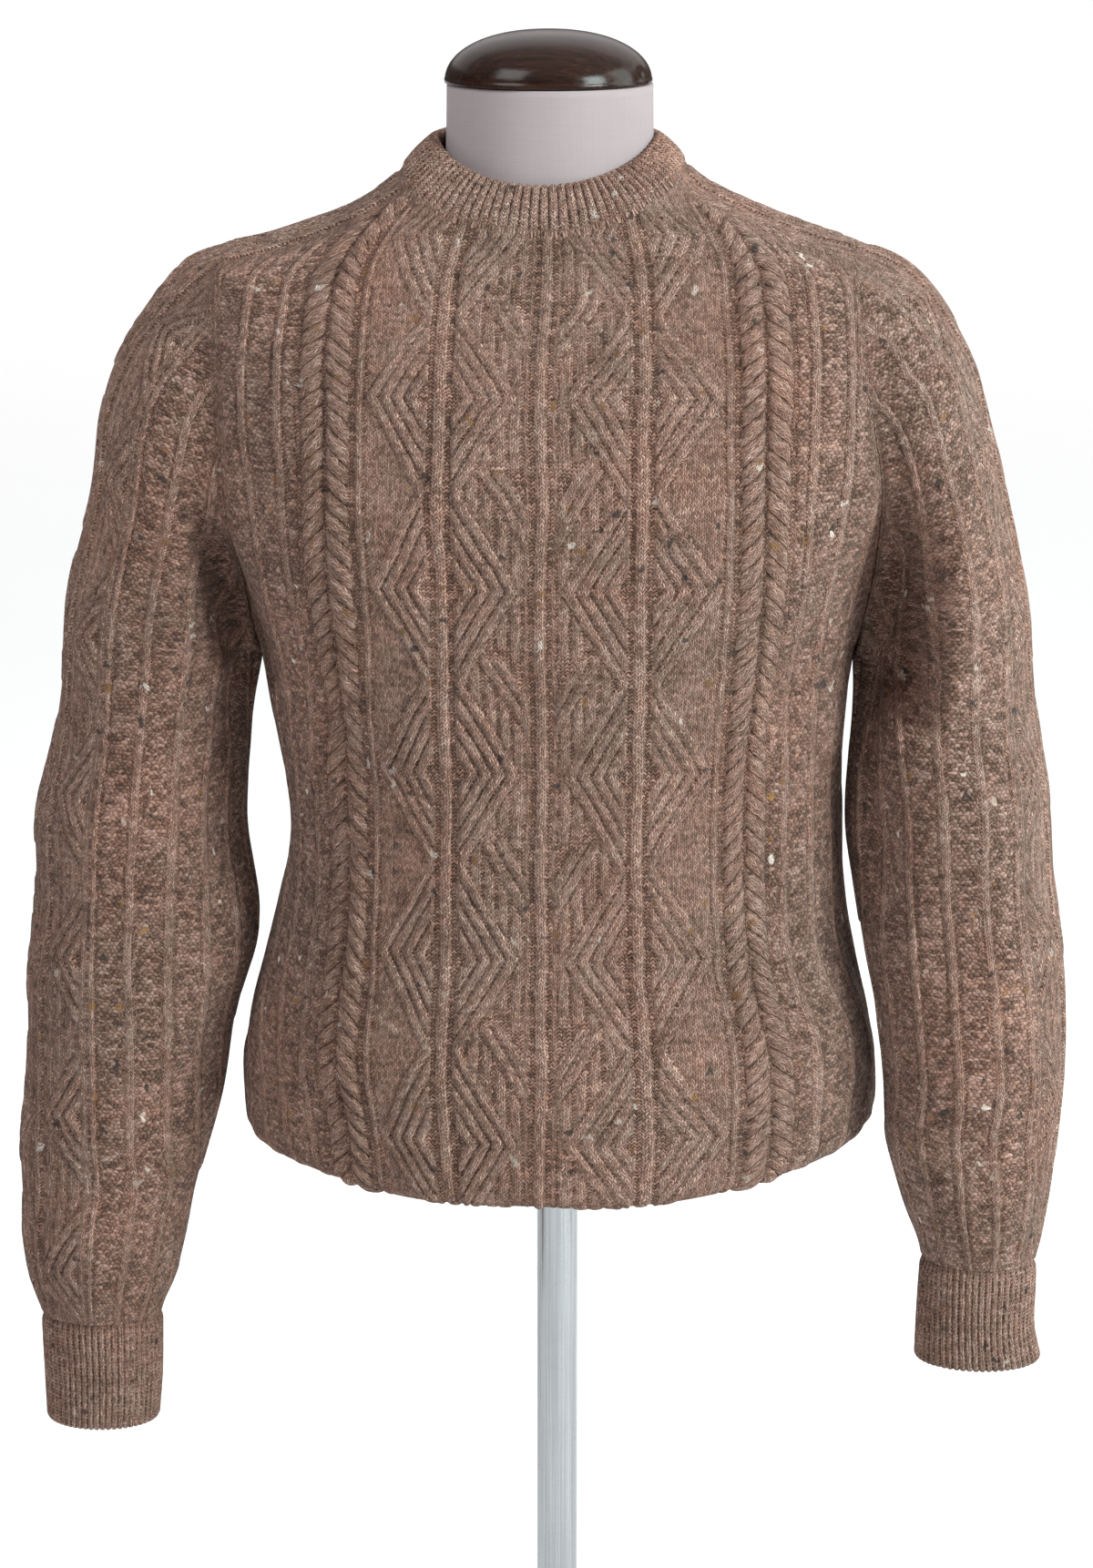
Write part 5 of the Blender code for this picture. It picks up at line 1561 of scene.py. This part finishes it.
# a screwed collar where the pole enters the form
pole = rounded([(0.0, low), (POLE_RADIUS - 0.0004, low), (POLE_RADIUS - 0.0004, low + 0.05), (POLE_RADIUS - 0.0004, 0.20), (POLE_RADIUS - 0.0004, 0.3600), (POLE_RADIUS, 0.3610), (POLE_RADIUS, 0.3880), (POLE_RADIUS - 0.0004, 0.3890), (POLE_RADIUS - 0.0004, high), (0.0, high)], 0.0006, 4)
lathe("steel_pole", pole, (0, 0, 0), steel(), ["stand_pole"], 72)
r_, h_ = BASE_RADIUS, BASE_HEIGHT
base_profile = rounded([(0.0, 0.0), (r_ - 0.002, 0.0), (r_, 0.002), (r_, h_ - 0.017), (r_ - 0.003, h_ - 0.013), (r_ - 0.012, h_ - 0.010), (0.060, h_ - 0.003), (0.020, h_), (0.0, h_)], 0.004, 6)
lathe("wooden_base", base_profile, (0, 0, 0), wood("base_wood", (8.0, 90.0, 90.0)), ["stand_base"], 200)


# ------------------------------------------------------- floor, light, camera
def floor():
    n = 40
    s = np.linspace(-1, 1, n + 1)
    s = np.sign(s) * np.abs(s) ** 3 * 32
    p = np.stack([np.broadcast_to(s, (n + 1, n + 1)), np.broadcast_to(s[:, None], (n + 1, n + 1)), np.zeros((n + 1, n + 1))], -1)
    ob = grid_mesh("studio_floor", p, None, floor_material(), False)


floor()


def area_light(name, at, to, size, power, color=(1, 1, 1)):
    light = bpy.data.lights.new(name, "AREA")
    light.shape = "RECTANGLE"
    light.size, light.size_y = size
    light.energy = power
    light.color = color
    ob = bpy.data.objects.new(name, light)
    ob.location = at
    ob.rotation_euler = (Vector(to) - Vector(at)).to_track_quat("-Z", "Y").to_euler()
    bpy.context.scene.collection.objects.link(ob)


area_light("key", (2.7, -1.7, 2.2), (0.0, 0.0, 0.75), (1.3, 1.3), 168, (0.87, 1.0, 1.0))
area_light("over", (-0.75, -0.75, 1.85), (-0.12, 0.0, 0.90), (0.7, 0.7), 13.0, (0.93, 1.0, 1.03))
area_light("far_floor", (0.0, 15.0, 6.0), (0.0, 15.0, 0.0), (24.0, 22.0), 1150)
area_light("rim", (2.4, 0.3, 1.7), (0.0, 0.0, 0.8), (1.2, 1.8), 38, (0.87, 1.0, 0.98))

SKY_LOW, SKY_HIGH = 0.06, 1.13
SKY_LEFT, SKY_RIGHT = 0.45, 1.15
world = bpy.data.worlds.new("studio")
bpy.context.scene.world = world
world.use_nodes = True
sky = world.node_tree
low_high = sky.nodes.new("ShaderNodeMapRange")
parts = sky.nodes.new("ShaderNodeSeparateXYZ")
sky.links.new(sky.nodes.new("ShaderNodeTexCoord").outputs["Generated"], parts.inputs[0])
sky.links.new(parts.outputs[2], low_high.inputs[0])
low_high.inputs[3].default_value, low_high.inputs[4].default_value = SKY_LOW, SKY_HIGH
left_right = sky.nodes.new("ShaderNodeMapRange")
sky.links.new(parts.outputs[0], left_right.inputs[0])
left_right.inputs[1].default_value = -1.0
left_right.inputs[3].default_value, left_right.inputs[4].default_value = SKY_LEFT, SKY_RIGHT
both = sky.nodes.new("ShaderNodeMath")
both.operation = "MULTIPLY"
sky.links.new(low_high.outputs[0], both.inputs[0])
sky.links.new(left_right.outputs[0], both.inputs[1])
sky.nodes["Background"].inputs[0].default_value = (1.0, 0.985, 0.99, 1)
sky.links.new(both.outputs[0], sky.nodes["Background"].inputs[1])
bpy.context.scene.view_settings.view_transform = "Standard"

camera = bpy.data.cameras.new("camera")
camera.lens, camera.sensor_width = 105.24, 36.0
camera.clip_end = 200
eye = bpy.data.objects.new("camera", camera)
eye.location = (0.1524, -2.5955, 1.20)
eye.rotation_euler = (radians(77), 0, radians(3.5))
bpy.context.scene.collection.objects.link(eye)
bpy.context.scene.camera = eye
